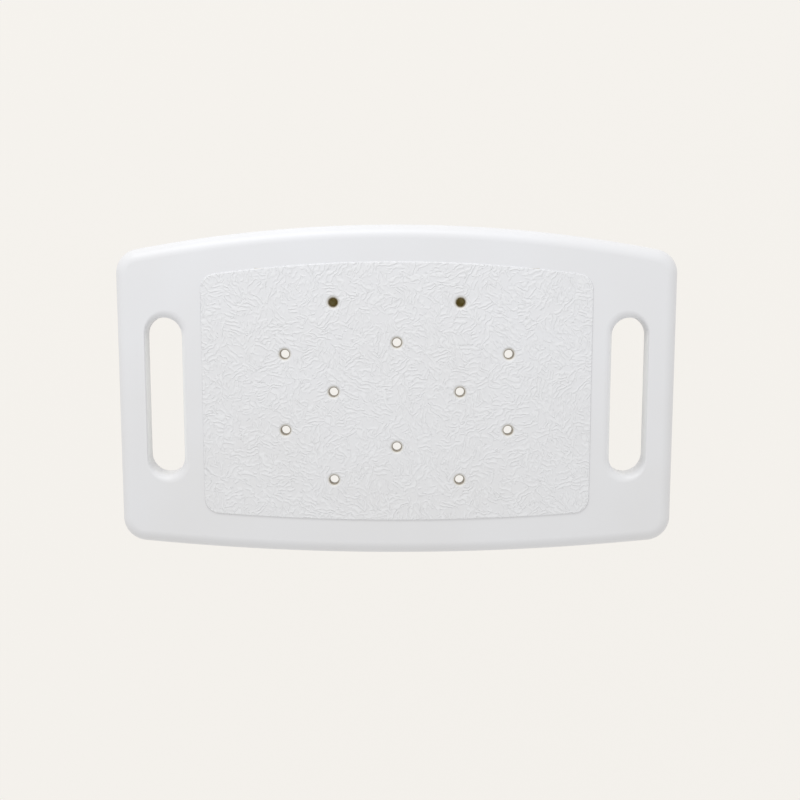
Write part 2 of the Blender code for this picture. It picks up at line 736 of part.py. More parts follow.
def build_storage_clip(legs):
    """A plate under the board, plugged into a drain, with fingers for the folded stretcher."""
    name = f"{legs.name}_storage_clip"
    x = legs.clip_x
    drain_x = math.copysign(CLIP_DRAIN[0], x)
    plate_top = UNDERSIDE - GAP
    plate_low = plate_top - CLIP_PLATE
    margin = CONE_FOOT_RADIUS + CLIP_PLATE_MARGIN
    low, high = min(x, drain_x) - margin, max(x, drain_x) + margin
    plate = [(high, plate_low), (high, plate_top), (low, plate_top), (low, plate_low)]
    clip = finish(name, extruded(plate, CLIP_FRONT_Y, CLIP_BACK_Y), "black_nylon")
    combine(clip, "UNION", helper(f"{name}_fingers", clip_fingers(legs, plate_low)))
    combine(clip, "UNION", helper(f"{name}_spigot", clip_spigot(drain_x, plate_low)))
    hole = rod(CLIP_SCREW_RADIUS + GAP, plate_low - OVERCUT, UNDERSIDE, SCREW_SIDES)
    combine(clip, "DIFFERENCE", helper(f"{name}_hole", moved(hole, (x, CLIP_SCREW_Y, 0.0))))


def build_clip_screw(legs):
    screw = screw_shape(
        CLIP_SCREW_RADIUS,
        UNDERSIDE - GAP - CLIP_PLATE - GAP,
        CLIP_SCREW_BITE,
        CLIP_HEAD_RADIUS,
        CLIP_HEAD_HEIGHT,
        CLIP_SOCKET_RADIUS,
        CLIP_SOCKET_DEPTH,
    )
    place = (legs.clip_x, CLIP_SCREW_Y, 0.0)
    finish(f"{legs.name}_clip_screw", screw, "stainless_steel", place=place)


def u_path(half_width, reach):
    """Points and directions (y, z, dy, dz) up one leg, across and down the other."""
    path = [(-half_width, -reach, 0.0, 1.0)]
    for i in range(BEND_STEPS + 1):
        turn = math.pi - math.pi / 2 * i / BEND_STEPS
        y = BEND_RADIUS - half_width + BEND_RADIUS * math.cos(turn)
        z = BEND_RADIUS * math.sin(turn) - BEND_RADIUS
        path.append((y, z, math.sin(turn), -math.cos(turn)))
    return path + [(-y, z, dy, -dz) for y, z, dy, dz in reversed(path)]


def pipe_ring(shape, radius, place, sides):
    """A round ring of vertices across a path at (y, z), where it runs towards (dy, dz)."""
    y, z, dy, dz = place
    ring = []
    for i in range(sides):
        turn = math.tau * i / sides
        across = radius * math.sin(turn)
        ring.append(shape.verts.new((radius * math.cos(turn), y - across * dz, z + across * dy)))
    return ring


def pipe(path, outer, wall, sides):
    """An open-ended round pipe along a path of (y, z, dy, dz) in the YZ plane."""
    shape = bmesh.new()
    skins = []
    for radius in (outer, outer - wall):
        skins.append([pipe_ring(shape, radius, place, sides) for place in path])
    for rings in skins:
        for low, high in zip(rings, rings[1:]):
            for i in range(sides):
                j = (i + 1) % sides
                shape.faces.new((low[i], low[j], high[j], high[i]))
    for end in (0, -1):
        outside, inside = skins[0][end], skins[1][end]
        for i in range(sides):
            j = (i + 1) % sides
            shape.faces.new((outside[i], outside[j], inside[j], inside[i]))
    return shape


def hole_depths():
    return [FIRST_HOLE + HOLE_PITCH * i for i in range(HOLE_COUNT)]


def build_leg_frame(legs, axis):
    """The bent tube: one leg, the hinge's straight and the other leg."""
    shape = pipe(u_path(legs.half_width, UPPER_TUBE_REACH), TUBE_RADIUS, TUBE_WALL, TUBE_SIDES)
    frame = finish(f"{legs.name}_leg_frame", shape, "anodised_aluminium", axis)
    drills = []
    for _, end in ENDS:
        for depth in hole_depths():
            drill = rod(BUTTON_RADIUS + GAP, TUBE_RADIUS / 2, TUBE_RADIUS + OVERCUT, BUTTON_SIDES)
            drill = aimed(drill, (0.0, end, 0.0))
            drills.append(moved(drill, (0.0, end * legs.half_width, -depth)))
    combine(frame, "DIFFERENCE", helper(f"{legs.name}_height_holes", joined(drills), axis))


def build_stretcher(legs, axis):
    """The cross tube, its ends cut to the round of the legs that it is welded to."""
    reach = legs.half_width
    path = [(-reach, -STRETCHER_REACH, 1.0, 0.0), (reach, -STRETCHER_REACH, 1.0, 0.0)]
    shape = pipe(path, STRETCHER_RADIUS, STRETCHER_WALL, STRETCHER_SIDES)
    stretcher = finish(f"{legs.name}_stretcher", shape, "anodised_aluminium", axis)
    low = -STRETCHER_REACH - 2 * STRETCHER_RADIUS
    high = -STRETCHER_REACH + 2 * STRETCHER_RADIUS
    copes = []
    for _, end in ENDS:
        cope = rod(SADDLE_RADIUS, low, high, TUBE_SIDES)
        copes.append(moved(cope, (0.0, end * legs.half_width, 0.0)))
    combine(stretcher, "DIFFERENCE", helper(f"{legs.name}_copes", joined(copes), axis))


def build_collar(legs, end_name, end, axis):
    """The sleeve on the end of a leg tube, which guides the tube that slides in it."""
    outer = TUBE_RADIUS + GAP + COLLAR_WALL
    inner = LOWER_TUBE_RADIUS + GAP
    top = COLLAR_GRIP - UPPER_TUBE_REACH
    low = -UPPER_TUBE_REACH - COLLAR_LIP
    profile = [
        (outer, top),
        (outer, low + COLLAR_WALL),
        (outer - COLLAR_WALL, low),
        (inner, low),
        (inner, -UPPER_TUBE_REACH - GAP),
        (SADDLE_RADIUS, -UPPER_TUBE_REACH - GAP),
        (SADDLE_RADIUS, top),
    ]
    shape = turned(profile, TUBE_SIDES, ring=True)
    place = (0.0, end * legs.half_width, 0.0)
    finish(f"{legs.name}_{end_name}_collar", shape, "grey_nylon", axis, place)


def build_lower_leg(legs, end_name, end, axis):
    """The sliding tube and all that moves with it."""
    name = f"{legs.name}_{end_name}"
    slide = empty(f"{name}_slide", (0.0, end * legs.half_width, 0.0), parent=axis)
    sole = -legs.length + FOOT_SOLE
    washer_low = sole + GAP
    washer_high = washer_low + WASHER_THICKNESS
    build_lower_tube(name, end, slide, washer_high + GAP)
    build_glide_plug(name, slide)
    build_foot_washer(name, slide, washer_low, washer_high)
    build_foot(name, legs, slide, sole)
    build_button(name, end, slide)
    build_spring(name, end, slide)


def build_lower_tube(name, end, slide, low):
    profile = [
        (LOWER_TUBE_RADIUS, -LOWER_TUBE_TOP),
        (LOWER_TUBE_RADIUS, low),
        (LOWER_TUBE_BORE, low),
        (LOWER_TUBE_BORE, -LOWER_TUBE_TOP),
    ]
    shape = turned(profile, TUBE_SIDES, ring=True)
    tube = finish(f"{name}_lower_leg", shape, "anodised_aluminium", slide)
    drill = rod(BUTTON_RADIUS + GAP, LOWER_TUBE_BORE / 2, TUBE_RADIUS, BUTTON_SIDES)
    drill = moved(aimed(drill, (0.0, end, 0.0)), (0.0, 0.0, -FIRST_HOLE))
    combine(tube, "DIFFERENCE", helper(f"{name}_button_hole", drill, slide))


def build_glide_plug(name, slide):
    """The flanged plug in the sliding tube's top, which keeps it from rattling."""
    seat = GAP - LOWER_TUBE_TOP
    low = -LOWER_TUBE_TOP - PLUG_DEPTH
    profile = [
        (LOWER_TUBE_RADIUS, seat),
        (LOWER_TUBE_RADIUS, seat + PLUG_FLANGE),
        (PLUG_BORE, seat + PLUG_FLANGE),
        (PLUG_BORE, low),
        (LOWER_TUBE_BORE - GAP, low),
        (LOWER_TUBE_BORE - GAP, seat),
    ]
    finish(f"{name}_glide_plug", turned(profile, TUBE_SIDES, ring=True), "grey_nylon", slide)


def build_foot_washer(name, slide, low, high):
    """The washer that keeps the tube's end from cutting through the foot."""
    rim = FOOT_SOCKET_RADIUS - GAP
    profile = [(rim, low), (rim, high), (WASHER_BORE, high), (WASHER_BORE, low)]
    shape = turned(profile, WASHER_SIDES, ring=True)
    finish(f"{name}_foot_washer", shape, "stainless_steel", slide)


def build_foot(name, legs, slide, sole):
    """A flared rubber foot, cut level with the floor."""
    floor = -legs.length
    top = sole + FOOT_SOCKET
    shaft = FOOT_SOCKET_RADIUS + FOOT_WALL
    profile = [
        (0.0, floor - FOOT_RIM),
        (FOOT_RADIUS, floor - FOOT_RIM),
        (FOOT_RADIUS, floor + FOOT_RIM),
        (shaft, floor + FOOT_RIM + FOOT_TAPER),
        (shaft, top - FOOT_WALL / 2),
        (shaft - FOOT_WALL / 2, top),
        (FOOT_SOCKET_RADIUS, top),
        (FOOT_SOCKET_RADIUS, sole),
        (0.0, sole),
    ]
    shape = turned(profile, FOOT_SIDES)
    up = Matrix.Rotation(legs.side * SPLAY, 3, "Y") @ Vector((0.0, 0.0, 1.0))
    geometry = shape.verts[:] + shape.edges[:] + shape.faces[:]
    cut = bmesh.ops.bisect_plane(
        shape, geom=geometry, plane_co=(0.0, 0.0, floor), plane_no=up, clear_inner=True
    )
    rim = [item for item in cut["geom_cut"] if isinstance(item, bmesh.types.BMEdge)]
    bmesh.ops.edgeloop_fill(shape, edges=rim)
    finish(f"{name}_foot", shape, "grey_rubber", slide)


def build_button(name, end, slide):
    """The snap button: a flange inside the tube and a domed stem out through both tubes."""
    tip = TUBE_RADIUS + BUTTON_STANDS_OUT
    profile = [
        (0.0, BUTTON_FLANGE_TOP - BUTTON_FLANGE_HEIGHT),
        (BUTTON_FLANGE_RADIUS, BUTTON_FLANGE_TOP - BUTTON_FLANGE_HEIGHT),
        (BUTTON_FLANGE_RADIUS, BUTTON_FLANGE_TOP),
        (BUTTON_RADIUS, BUTTON_FLANGE_TOP),
        (BUTTON_RADIUS, tip - BUTTON_DOME),
        (BUTTON_RADIUS - BUTTON_DOME, tip),
        (0.0, tip),
    ]
    shape = aimed(turned(profile, BUTTON_SIDES), (0.0, end, 0.0))
    finish(f"{name}_snap_button", shape, "stainless_steel", slide, (0.0, 0.0, -FIRST_HOLE))


def strip(line, thickness):
    """The outline of a thin strip along a line of (x, z) points."""
    sides = ([], [])
    for i, point in enumerate(line):
        before = Vector(line[max(i - 1, 0)])
        after = Vector(line[min(i + 1, len(line) - 1)])
        along = (after - before).normalized()
        across = Vector((-along.y, along.x)) * thickness / 2
        sides[0].append(tuple(Vector(point) + across))
        sides[1].append(tuple(Vector(point) - across))
    return sides[0] + sides[1][::-1]


def build_spring(name, end, slide):
    """A V of spring strip: one leaf under the button, the other on the far wall."""
    leaf = BUTTON_FLANGE_TOP - BUTTON_FLANGE_HEIGHT - GAP - SPRING_STRIP / 2
    half = SPRING_WIDTH / 2
    facet = LOWER_TUBE_BORE * math.cos(math.pi / TUBE_SIDES)
    back = GAP + SPRING_STRIP / 2 - math.sqrt(facet**2 - half**2)
    bend = (SPRING_BEND + back, -SPRING_DEPTH)
    line = [(leaf, SPRING_TIP), (leaf, -SPRING_TIP)]
    line += arc(bend, SPRING_BEND, 0.0, -math.pi, SPRING_BEND_STEPS)
    line += [(back, SPRING_TIP)]
    shape = extruded(strip(line, SPRING_STRIP), -half, half)
    quarter = Matrix.Rotation(math.pi / 2, 3, "Z")
    bmesh.ops.rotate(shape, verts=shape.verts, matrix=quarter)
    shape = mirrored(shape, 1, end)
    finish(f"{name}_button_spring", shape, "stainless_steel", slide, (0.0, 0.0, -FIRST_HOLE))


def build_bench():
    build_seat_board()
    for legs in (LEFT, RIGHT):
        place = (legs.side * HINGE_X, 0.0, legs.hinge_z)
        axis = empty(f"{legs.name}_fold_axis", place, -legs.side * SPLAY)
        build_leg_frame(legs, axis)
        build_stretcher(legs, axis)
        build_storage_clip(legs)
        build_clip_screw(legs)
        for end_name, end in ENDS:
            build_bracket(legs, end_name, end)
            build_cap(legs, end_name, end)
            build_bracket_screws(legs, end_name, end)
            build_collar(legs, end_name, end, axis)
            build_lower_leg(legs, end_name, end, axis)


clear_scene()
build_bench()
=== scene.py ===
"""Looks of the folding shower bench.

Pieces that are finer than its solids, with their finishes, and the floor, the light and the camera.
"""

import math
from dataclasses import dataclass, replace

import bmesh
import bpy
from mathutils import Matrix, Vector


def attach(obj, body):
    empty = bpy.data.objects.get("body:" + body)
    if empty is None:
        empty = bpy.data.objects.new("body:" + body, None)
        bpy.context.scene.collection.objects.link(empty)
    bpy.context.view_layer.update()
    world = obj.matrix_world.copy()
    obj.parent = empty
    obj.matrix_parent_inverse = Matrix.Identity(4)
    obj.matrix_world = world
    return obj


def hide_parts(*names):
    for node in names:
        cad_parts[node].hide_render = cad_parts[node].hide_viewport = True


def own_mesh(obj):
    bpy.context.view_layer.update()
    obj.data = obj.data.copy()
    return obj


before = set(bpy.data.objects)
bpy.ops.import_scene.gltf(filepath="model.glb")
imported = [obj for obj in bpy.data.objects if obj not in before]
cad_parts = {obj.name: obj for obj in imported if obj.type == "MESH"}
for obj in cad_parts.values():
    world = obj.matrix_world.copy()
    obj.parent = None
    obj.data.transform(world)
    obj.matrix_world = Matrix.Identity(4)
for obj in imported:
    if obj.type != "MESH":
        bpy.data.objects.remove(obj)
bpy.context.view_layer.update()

# Points nearer than DOUBLED are merged, heights within LEVEL count as one, tools reach past by OVERCUT
DOUBLED = 0.00001
LEVEL = 0.000001
OVERCUT = 0.002

# Sizes and places in metres, most of them shared with the solids
GAP = 0.0003
SEAT_TOP = 0.394
PAD_TOP = 0.395
UNDERSIDE = 0.367
BOARD_OUTLINE = {
    "half_length": 0.250, "back": 0.149, "front": -0.149,
    "back_radius": 1.250, "front_radius": 2.300, "corner": 0.022,
}
PAD_OUTLINE = {
    "half_length": 0.174, "back": 0.1166, "front": -0.1166,
    "back_radius": 1.220, "front_radius": 2.030, "corner": 0.014,
}
RIM_TOP = 0.012
RIM_BOTTOM = 0.008
SEAM_HALF = 0.0006
SEAM_EDGE = 0.0003
SEAM_RISE = 0.00035
PAD_ROOT = 0.0015
PAD_EDGE = ((0.00015, 0.00025), (0.0002, 0.00035), (0.00025, 0.0003), (0.0003, 0.00009), (0.0003, 0.00001))
SLOT_X = 0.20785
SLOT_Y = -0.0043
SLOT_RADIUS = 0.0157
SLOT_REACH = 0.071
SLOT_TOP_LIP = 0.007
SLOT_OUTER_LIP = 0.0014
SLOT_BOTTOM_LIP = 0.004
SLOT_DRAFT = 0.0014
DRAINS = (
    (-0.0565, 0.0805), (0.0565, 0.0805), (0.0, 0.0448), (-0.0998, 0.0345), (0.0998, 0.0345),
    (-0.0565, 0.0006), (0.0565, 0.0006), (-0.0998, -0.034), (0.0998, -0.034), (0.0, -0.0491),
    (-0.0565, -0.0792), (0.0565, -0.0792),
)
CLIP_DRAIN = DRAINS[1]
DRAIN_RADIUS = 0.0038
DRAIN_LIP = 0.0035
CONE_TOP = 0.008
CONE_FOOT = 0.013
CONE_CEILING = 0.387
VENT = (0.0, -0.105)
VENT_RADIUS = 0.003
VENT_DEPTH = 0.006
VENT_EDGE = 0.0006
SPLAY = math.radians(9.0)
HINGE_X = 0.1655
TUBE = 0.0127
TUBE_WALL = 0.0014
BEND = 0.050
SADDLE = TUBE + GAP
SADDLE_FROM_LEG = 0.0655
TUBE_SIDES = 48
HOLE_SIDES = 24
TUBE_END = 0.0006
UPPER_REACH = 0.248014
STRETCHER = 0.0095
STRETCHER_WALL = 0.0012
STRETCHER_REACH = 0.225014
LOWER_TUBE = 0.0110
LOWER_BORE = 0.0096
LOWER_TOP = 0.056
FIRST_HOLE = 0.070
HOLE_PITCH = 0.0200024
HOLES = 7
BUTTON = 0.0038
BUTTON_TIP = 0.0167
BUTTON_FLANGE = 0.0050
BUTTON_FLANGE_TOP = 0.0078951
BUTTON_FLANGE_HEIGHT = 0.0015
SPRING_STRIP = 0.0008
SPRING_WIDTH = 0.006
SPRING_FRONT = 0.0056951
SPRING_BACK = -0.0082947
SPRING_TIP = 0.005
SPRING_BEND = 0.004
SPRING_DEPTH = 0.046
FOOT = 0.018
FOOT_SOCKET = 0.0113
FOOT_SHAFT = 0.0143
FOOT_SOLE = 0.009
FOOT_DEPTH = 0.024
BRACKET_HALF = 0.0255
BRACKET_WIDTH = 0.019
CAP_REACH = 0.019
GUSSET = 0.008
SCREW_OFFSET = 0.0185
SCREW_HOLE = 0.0033
LONG_SCREW = {
    "shank": 0.003, "bite": 0.016, "head": 0.0055, "height": 0.0038, "socket": 0.0025, "depth": 0.0022,
}
CLIP_SCREW = {
    "shank": 0.002, "bite": 0.012, "head": 0.004, "height": 0.0026, "socket": 0.0018, "depth": 0.0014,
}
SOFT_EDGE = 0.0010
CLIP_SCREW_Y = 0.0465
CLIP_FRONT = 0.039
CLIP_BACK = 0.0955
CLIP_GRIP = (0.055, 0.069)
CLIP_PLATE = 0.0035
CLIP_MARGIN = 0.015
CLIP_CORNER = 0.005
CLIP_SCREW_HOLE = 0.0023


@dataclass(frozen=True)
class LegSet:
    """One folding leg frame: its side, which way it leans, its sizes and where its clip stands."""

    name: str
    way: int
    half_width: float
    hinge_z: float
    clip_x: float

    @property
    def length(self):
        """From the hinge to the floor, along the leg."""
        return self.hinge_z / math.cos(SPLAY)

    @property
    def drop(self):
        """From the underside of the board down to the hinge."""
        return UNDERSIDE - self.hinge_z

    @property
    def saddle_y(self):
        """How far out the middle of each saddle is."""
        return self.half_width - SADDLE_FROM_LEG


LEFT = LegSet("left", -1, 0.118, 0.346, 0.059514)
RIGHT = LegSet("right", 1, 0.084, 0.306, -0.059514)
ENDS = (("front", -1), ("back", 1))


# Modelling

def only(piece):
    """Selects one object and nothing else."""
    bpy.ops.object.select_all(action="DESELECT")
    piece.select_set(True)
    bpy.context.view_layer.objects.active = piece


def start(name, add, **settings):
    """Adds a primitive at its size and place and opens it for editing, all of it selected."""
    bpy.ops.object.select_all(action="DESELECT")
    add(**settings)
    piece = bpy.context.active_object
    piece.name = name
    piece.data.name = name
    bpy.ops.object.transform_apply(location=True, rotation=True, scale=True)
    bpy.ops.object.mode_set(mode="EDIT")
    bpy.ops.mesh.select_mode(type="VERT")
    bpy.ops.mesh.select_all(action="SELECT")
    return piece


def reopen(piece):
    only(piece)
    bpy.ops.object.mode_set(mode="EDIT")
    bpy.ops.mesh.select_all(action="DESELECT")


def done():
    """Closes an edit: doubled vertices merged and all faces turned outwards."""
    bpy.ops.mesh.select_all(action="SELECT")
    bpy.ops.mesh.remove_doubles(threshold=DOUBLED)
    bpy.ops.mesh.normals_make_consistent(inside=False)
    bpy.ops.object.mode_set(mode="OBJECT")


def pick(piece, kind, wanted):
    """Selects only those vertices, edges or faces that pass a test."""
    bpy.ops.mesh.select_mode(type=kind)
    bpy.ops.mesh.select_all(action="DESELECT")
    mesh = bmesh.from_edit_mesh(piece.data)
    for item in {"VERT": mesh.verts, "EDGE": mesh.edges, "FACE": mesh.faces}[kind]:
        if wanted(item):
            item.select_set(True)
    mesh.select_flush_mode()
    bmesh.update_edit_mesh(piece.data)


def pull(x=0.0, y=0.0, z=0.0):
    bpy.ops.mesh.extrude_region_move(TRANSFORM_OT_translate={"value": (x, y, z)})


def swell(factor, centre):
    bpy.ops.transform.resize(value=(factor, factor, 1.0), center_override=centre)


def swing(turn, centre, steps, axis=(0.0, 0.0, 1.0)):
    """Spins what is selected counter-clockwise about an axis."""
    bpy.ops.mesh.spin(steps=steps, angle=-turn, center=centre, axis=axis)


def sketch(name, point, runs, height=0.0, fill=True):
    """Draws a closed outline flat, from one point along straight and round runs."""
    x, y = point
    piece = start(name, bpy.ops.mesh.primitive_plane_add, size=0.001, location=(x, y, height))
    bpy.ops.mesh.merge(type="CENTER")
    for run in runs:
        if run[0] == "to":
            pull(run[1][0] - x, run[1][1] - y)
            x, y = run[1]
            continue
        (across, along), turn, steps = run[1:]
        swing(turn, (across, along, height), steps)
        right, up = x - across, y - along
        x = across + right * math.cos(turn) - up * math.sin(turn)
        y = along + right * math.sin(turn) + up * math.cos(turn)
    bpy.ops.mesh.select_all(action="SELECT")
    bpy.ops.mesh.remove_doubles(threshold=DOUBLED)
    if fill:
        bpy.ops.mesh.edge_face_add()
    return piece


def lathe(name, profile, sides, place=(0.0, 0.0), ring=False):
    """A turned shape about an upright line, drawn ring by ring along (radius, height) points."""
    radius, height = profile[0]
    piece = start(
        name,
        bpy.ops.mesh.primitive_circle_add,
        vertices=sides,
        radius=radius,
        location=(*place, height),
    )
    for (before, low), (after, high) in zip(profile, profile[1:]):
        pull(z=high - low)
        if after != before:
            swell(after / before, (*place, high))
    if not ring:
        bpy.ops.mesh.edge_face_add()
        pick(piece, "EDGE", lambda edge: edge.is_boundary)
        bpy.ops.mesh.edge_face_add()
    done()
    return piece


def bow(centre, radius, start_turn, stop_turn, steps):
    """(radius, height) points along an arc, for a lathe's profile."""
    points = []
    for i in range(steps + 1):
        turn = math.radians(start_turn + (stop_turn - start_turn) * i / steps)
        points.append((centre[0] + radius * math.cos(turn), centre[1] + radius * math.sin(turn)))
    return points


def lip(width, level, way, start_turn, stop_turn, steps):
    """(edge, height) points of a rounded lip: how far it stands out from the hole, at which height.

    A way of 1 is for a lip whose face looks up, and -1 for one that looks down.
    """
    points = []
    for i in range(steps + 1):
        turn = math.radians(start_turn + (stop_turn - start_turn) * i / steps)
        points.append((width * (1 - math.sin(turn)), level - way * width * (1 - math.cos(turn))))
    return points


def apply(piece, modifier):
    only(piece)
    bpy.ops.object.modifier_apply(modifier=modifier.name)


def combine(piece, operation, tool):
    """Joins a helper to a piece or cuts it away, and throws the helper away."""
    modifier = piece.modifiers.new(tool.name, "BOOLEAN")
    modifier.operation = operation
    modifier.solver = "EXACT"
    modifier.object = tool
    apply(piece, modifier)
    bpy.data.objects.remove(tool, do_unlink=True)


def soften(piece, width, segments=2, angle=40.0):
    """Rounds the sharp edges of a piece."""
    modifier = piece.modifiers.new("soften", "BEVEL")
    modifier.width = width
    modifier.segments = segments
    modifier.limit_method = "ANGLE"
    modifier.angle_limit = math.radians(angle)
    modifier.use_clamp_overlap = True
    apply(piece, modifier)


def thicken(piece, wall):
    modifier = piece.modifiers.new("wall", "SOLIDIFY")
    modifier.thickness = wall
    modifier.offset = -1.0
    modifier.use_even_offset = True
    apply(piece, modifier)


def placed(piece, move=(0.0, 0.0, 0.0), turn=(0.0, 0.0, 0.0)):
    """Turns and moves a piece and puts its place into its mesh."""
    only(piece)
    piece.location = move
    piece.rotation_euler = turn
    bpy.ops.object.transform_apply(location=True, rotation=True, scale=True)
    return piece


def copied(piece, name, move=(0.0, 0.0, 0.0), flip=(1, 1, 1)):
    """Another of the same piece with a mesh of its own, moved or mirrored."""
    twin = piece.copy()
    twin.data = piece.data.copy()
    twin.name = name
    twin.data.name = name
    bpy.context.scene.collection.objects.link(twin)
    only(twin)
    twin.scale = flip
    twin.location = move
    bpy.ops.object.transform_apply(location=True, rotation=True, scale=True)
    if min(flip) < 0:
        reopen(twin)
        done()
    return twin


def merged(pieces):
    """Joins helpers into one object."""
    bpy.ops.object.select_all(action="DESELECT")
    for piece in pieces:
        piece.select_set(True)
    bpy.context.view_layer.objects.active = pieces[0]
    bpy.ops.object.join()
    return bpy.context.active_object


def hang(piece, legs):
    """Turns a piece drawn on an upright leg out by the splay, at its hinge."""
    return placed(piece, (legs.way * HINGE_X, 0.0, legs.hinge_z), (0.0, -legs.way * SPLAY, 0.0))


# Seat board

def bowed(half_length, back, front, back_radius, front_radius, corner):
    """First point and runs of a rounded rectangle whose long edges bow outwards."""
    x = half_length - corner
    back_centre, front_centre = back - back_radius, front + front_radius
    back_rise = math.sqrt((back_radius - corner) ** 2 - x**2)
    front_rise = math.sqrt((front_radius - corner) ** 2 - x**2)
    back_turn, front_turn = math.atan2(back_rise, x), math.atan2(front_rise, x)
    back_y, front_y = back_centre + back_rise, front_centre - front_rise
    runs = [
        ("to", (half_length, back_y)),
        ("round", (x, back_y), back_turn, 14),
        ("round", (0.0, back_centre), math.pi - 2 * back_turn, 44),
        ("round", (-x, back_y), back_turn, 14),
        ("to", (-half_length, front_y)),
        ("round", (-x, front_y), front_turn, 14),
        ("round", (0.0, front_centre), math.pi - 2 * front_turn, 44),
        ("round", (x, front_y), front_turn, 14),
    ]
    return (half_length, front_y), runs


def shape_board():
    """The moulded board: a bowed outline, rounded above and below, with a parting line."""
    board = sketch("moulded_seat_board", *bowed(**BOARD_OUTLINE), UNDERSIDE)
    pull(z=SEAT_TOP - UNDERSIDE)
    bpy.ops.mesh.select_all(action="SELECT")
    bpy.ops.mesh.normals_make_consistent(inside=False)
    pick(board, "EDGE", lambda edge: all(v.co.z > SEAT_TOP - DOUBLED for v in edge.verts))
    bpy.ops.mesh.bevel(offset=RIM_TOP, segments=10, affect="EDGES", clamp_overlap=False)
    pick(board, "EDGE", lambda edge: all(v.co.z < UNDERSIDE + DOUBLED for v in edge.verts))
    bpy.ops.mesh.bevel(offset=RIM_BOTTOM, segments=8, affect="EDGES", clamp_overlap=False)
    seam = (UNDERSIDE + RIM_BOTTOM + SEAT_TOP - RIM_TOP) / 2
    for height in (seam - SEAM_HALF, seam + SEAM_HALF):
        bpy.ops.mesh.select_all(action="SELECT")
        bpy.ops.mesh.bisect(plane_co=(0.0, 0.0, height), plane_no=(0.0, 0.0, 1.0))
    pick(board, "FACE", lambda face: all(abs(v.co.z - seam) < SEAM_HALF + DOUBLED for v in face.verts))
    bpy.ops.mesh.inset(thickness=SEAM_EDGE, depth=-SEAM_RISE)
    done()
    return board


def shape_pad():
    """The raised pad field, its edge an S from the board up to the field."""
    pad = sketch("pad_field", *bowed(**PAD_OUTLINE), SEAT_TOP - PAD_ROOT)
    pull(z=PAD_ROOT)
    bpy.ops.mesh.select_all(action="SELECT")
    bpy.ops.mesh.normals_make_consistent(inside=False)
    pick(pad, "FACE", lambda face: face.normal.z > 0.9)
    for thickness, depth in PAD_EDGE:
        bpy.ops.mesh.inset(thickness=thickness, depth=depth)
    done()
    return pad


def shape_slot():
    """What the right hand slot cuts away: a long round hole, flared above and below.

    Each ring is (edge, inward, height): its edge stands out by so much, and the whole ring is
    narrower and moved inward by so much, which gives the outer side its own lip and draft.
    """
    top = lip(SLOT_TOP_LIP, SEAT_TOP, 1, 4, 90, 10)
    bottom = lip(SLOT_BOTTOM_LIP, UNDERSIDE, -1, 90, 5, 8)
    share = (1 - SLOT_OUTER_LIP / SLOT_TOP_LIP) / 2
    above, below = (top[0][0], SEAT_TOP + OVERCUT), (bottom[-1][0], UNDERSIDE - OVERCUT)
    rings = [(edge, edge * share, height) for edge, height in [above] + top]
    rings += [(edge, -SLOT_DRAFT / 2, height) for edge, height in bottom + [below]]
    edge, inward, height = rings[0]
    straight = SLOT_REACH - SLOT_RADIUS
    x, spread, first = SLOT_X - inward, straight + inward, SLOT_RADIUS + edge - inward
    runs = [
        ("to", (x + first, SLOT_Y + spread)),
        ("round", (x, SLOT_Y + spread), math.pi, 24),
        ("to", (x - first, SLOT_Y - spread)),
        ("round", (x, SLOT_Y - spread), math.pi, 24),
    ]
    slot = sketch("slot_tool", (x + first, SLOT_Y - spread), runs, height, fill=False)
    for (before, was_inward, high), (after, inward, low) in zip(rings, rings[1:]):
        pull(z=low - high)
        factor = (SLOT_RADIUS + after - inward) / (SLOT_RADIUS + before - was_inward)
        for end in (-1, 1):
            pick(slot, "VERT", lambda v: abs(v.co.z - low) < LEVEL and end * (v.co.y - SLOT_Y) > 0)
            swell(factor, (SLOT_X - was_inward, SLOT_Y + end * (straight + was_inward), low))
            bpy.ops.transform.translate(value=(was_inward - inward, end * (inward - was_inward), 0.0))
        pick(slot, "VERT", lambda v: abs(v.co.z - low) < LEVEL)
    bpy.ops.mesh.select_mode(type="EDGE")
    bpy.ops.mesh.edge_face_add()
    pick(slot, "EDGE", lambda edge: edge.is_boundary)
    bpy.ops.mesh.edge_face_add()
    done()
    return slot


def shape_drain():
    """What one drain cuts away: a cone pressed up from below and a lipped hole through its floor."""
    mouth = ((0.0012, -OVERCUT / 2), (0.0010, 0.0), (0.0002, 0.0006), (-0.0003, 0.0018))
    corner = ((0.0012, 0.0035), (0.0007, 0.0014), (-0.0004, 0.0002), (-0.0015, 0.0))
    profile = [(CONE_FOOT + out, UNDERSIDE + up) for out, up in mouth]
    profile += [(CONE_TOP + out, CONE_CEILING - down) for out, down in corner]
    profile += [(DRAIN_RADIUS, CONE_CEILING)]
    profile += [(DRAIN_RADIUS + edge, height) for edge, height in lip(DRAIN_LIP, PAD_TOP, 1, 90, 6, 8)]
    profile += [(profile[-1][0], PAD_TOP + OVERCUT)]
    return lathe("drain_tool", profile, 40)


def make_board():
    board = shape_board()
    combine(board, "UNION", shape_pad())
    slot = shape_slot()
    other = copied(slot, "slot_tool_left", flip=(-1, 1, 1))
    combine(board, "DIFFERENCE", merged([slot, other]))
    first = shape_drain()
    drains = [copied(first, f"drain_tool_{i}", (x, y, 0.0)) for i, (x, y) in enumerate(DRAINS)]
    bpy.data.objects.remove(first, do_unlink=True)
    combine(board, "DIFFERENCE", merged(drains))
    mouth = VENT_RADIUS + VENT_EDGE
    vent = [(mouth, UNDERSIDE - OVERCUT / 2), (mouth, UNDERSIDE)]
    vent += [(VENT_RADIUS, UNDERSIDE + VENT_EDGE), (VENT_RADIUS, UNDERSIDE + VENT_DEPTH)]
    combine(board, "DIFFERENCE", lathe("vent_tool", vent, HOLE_SIDES, VENT))
    return board


# Leg frames

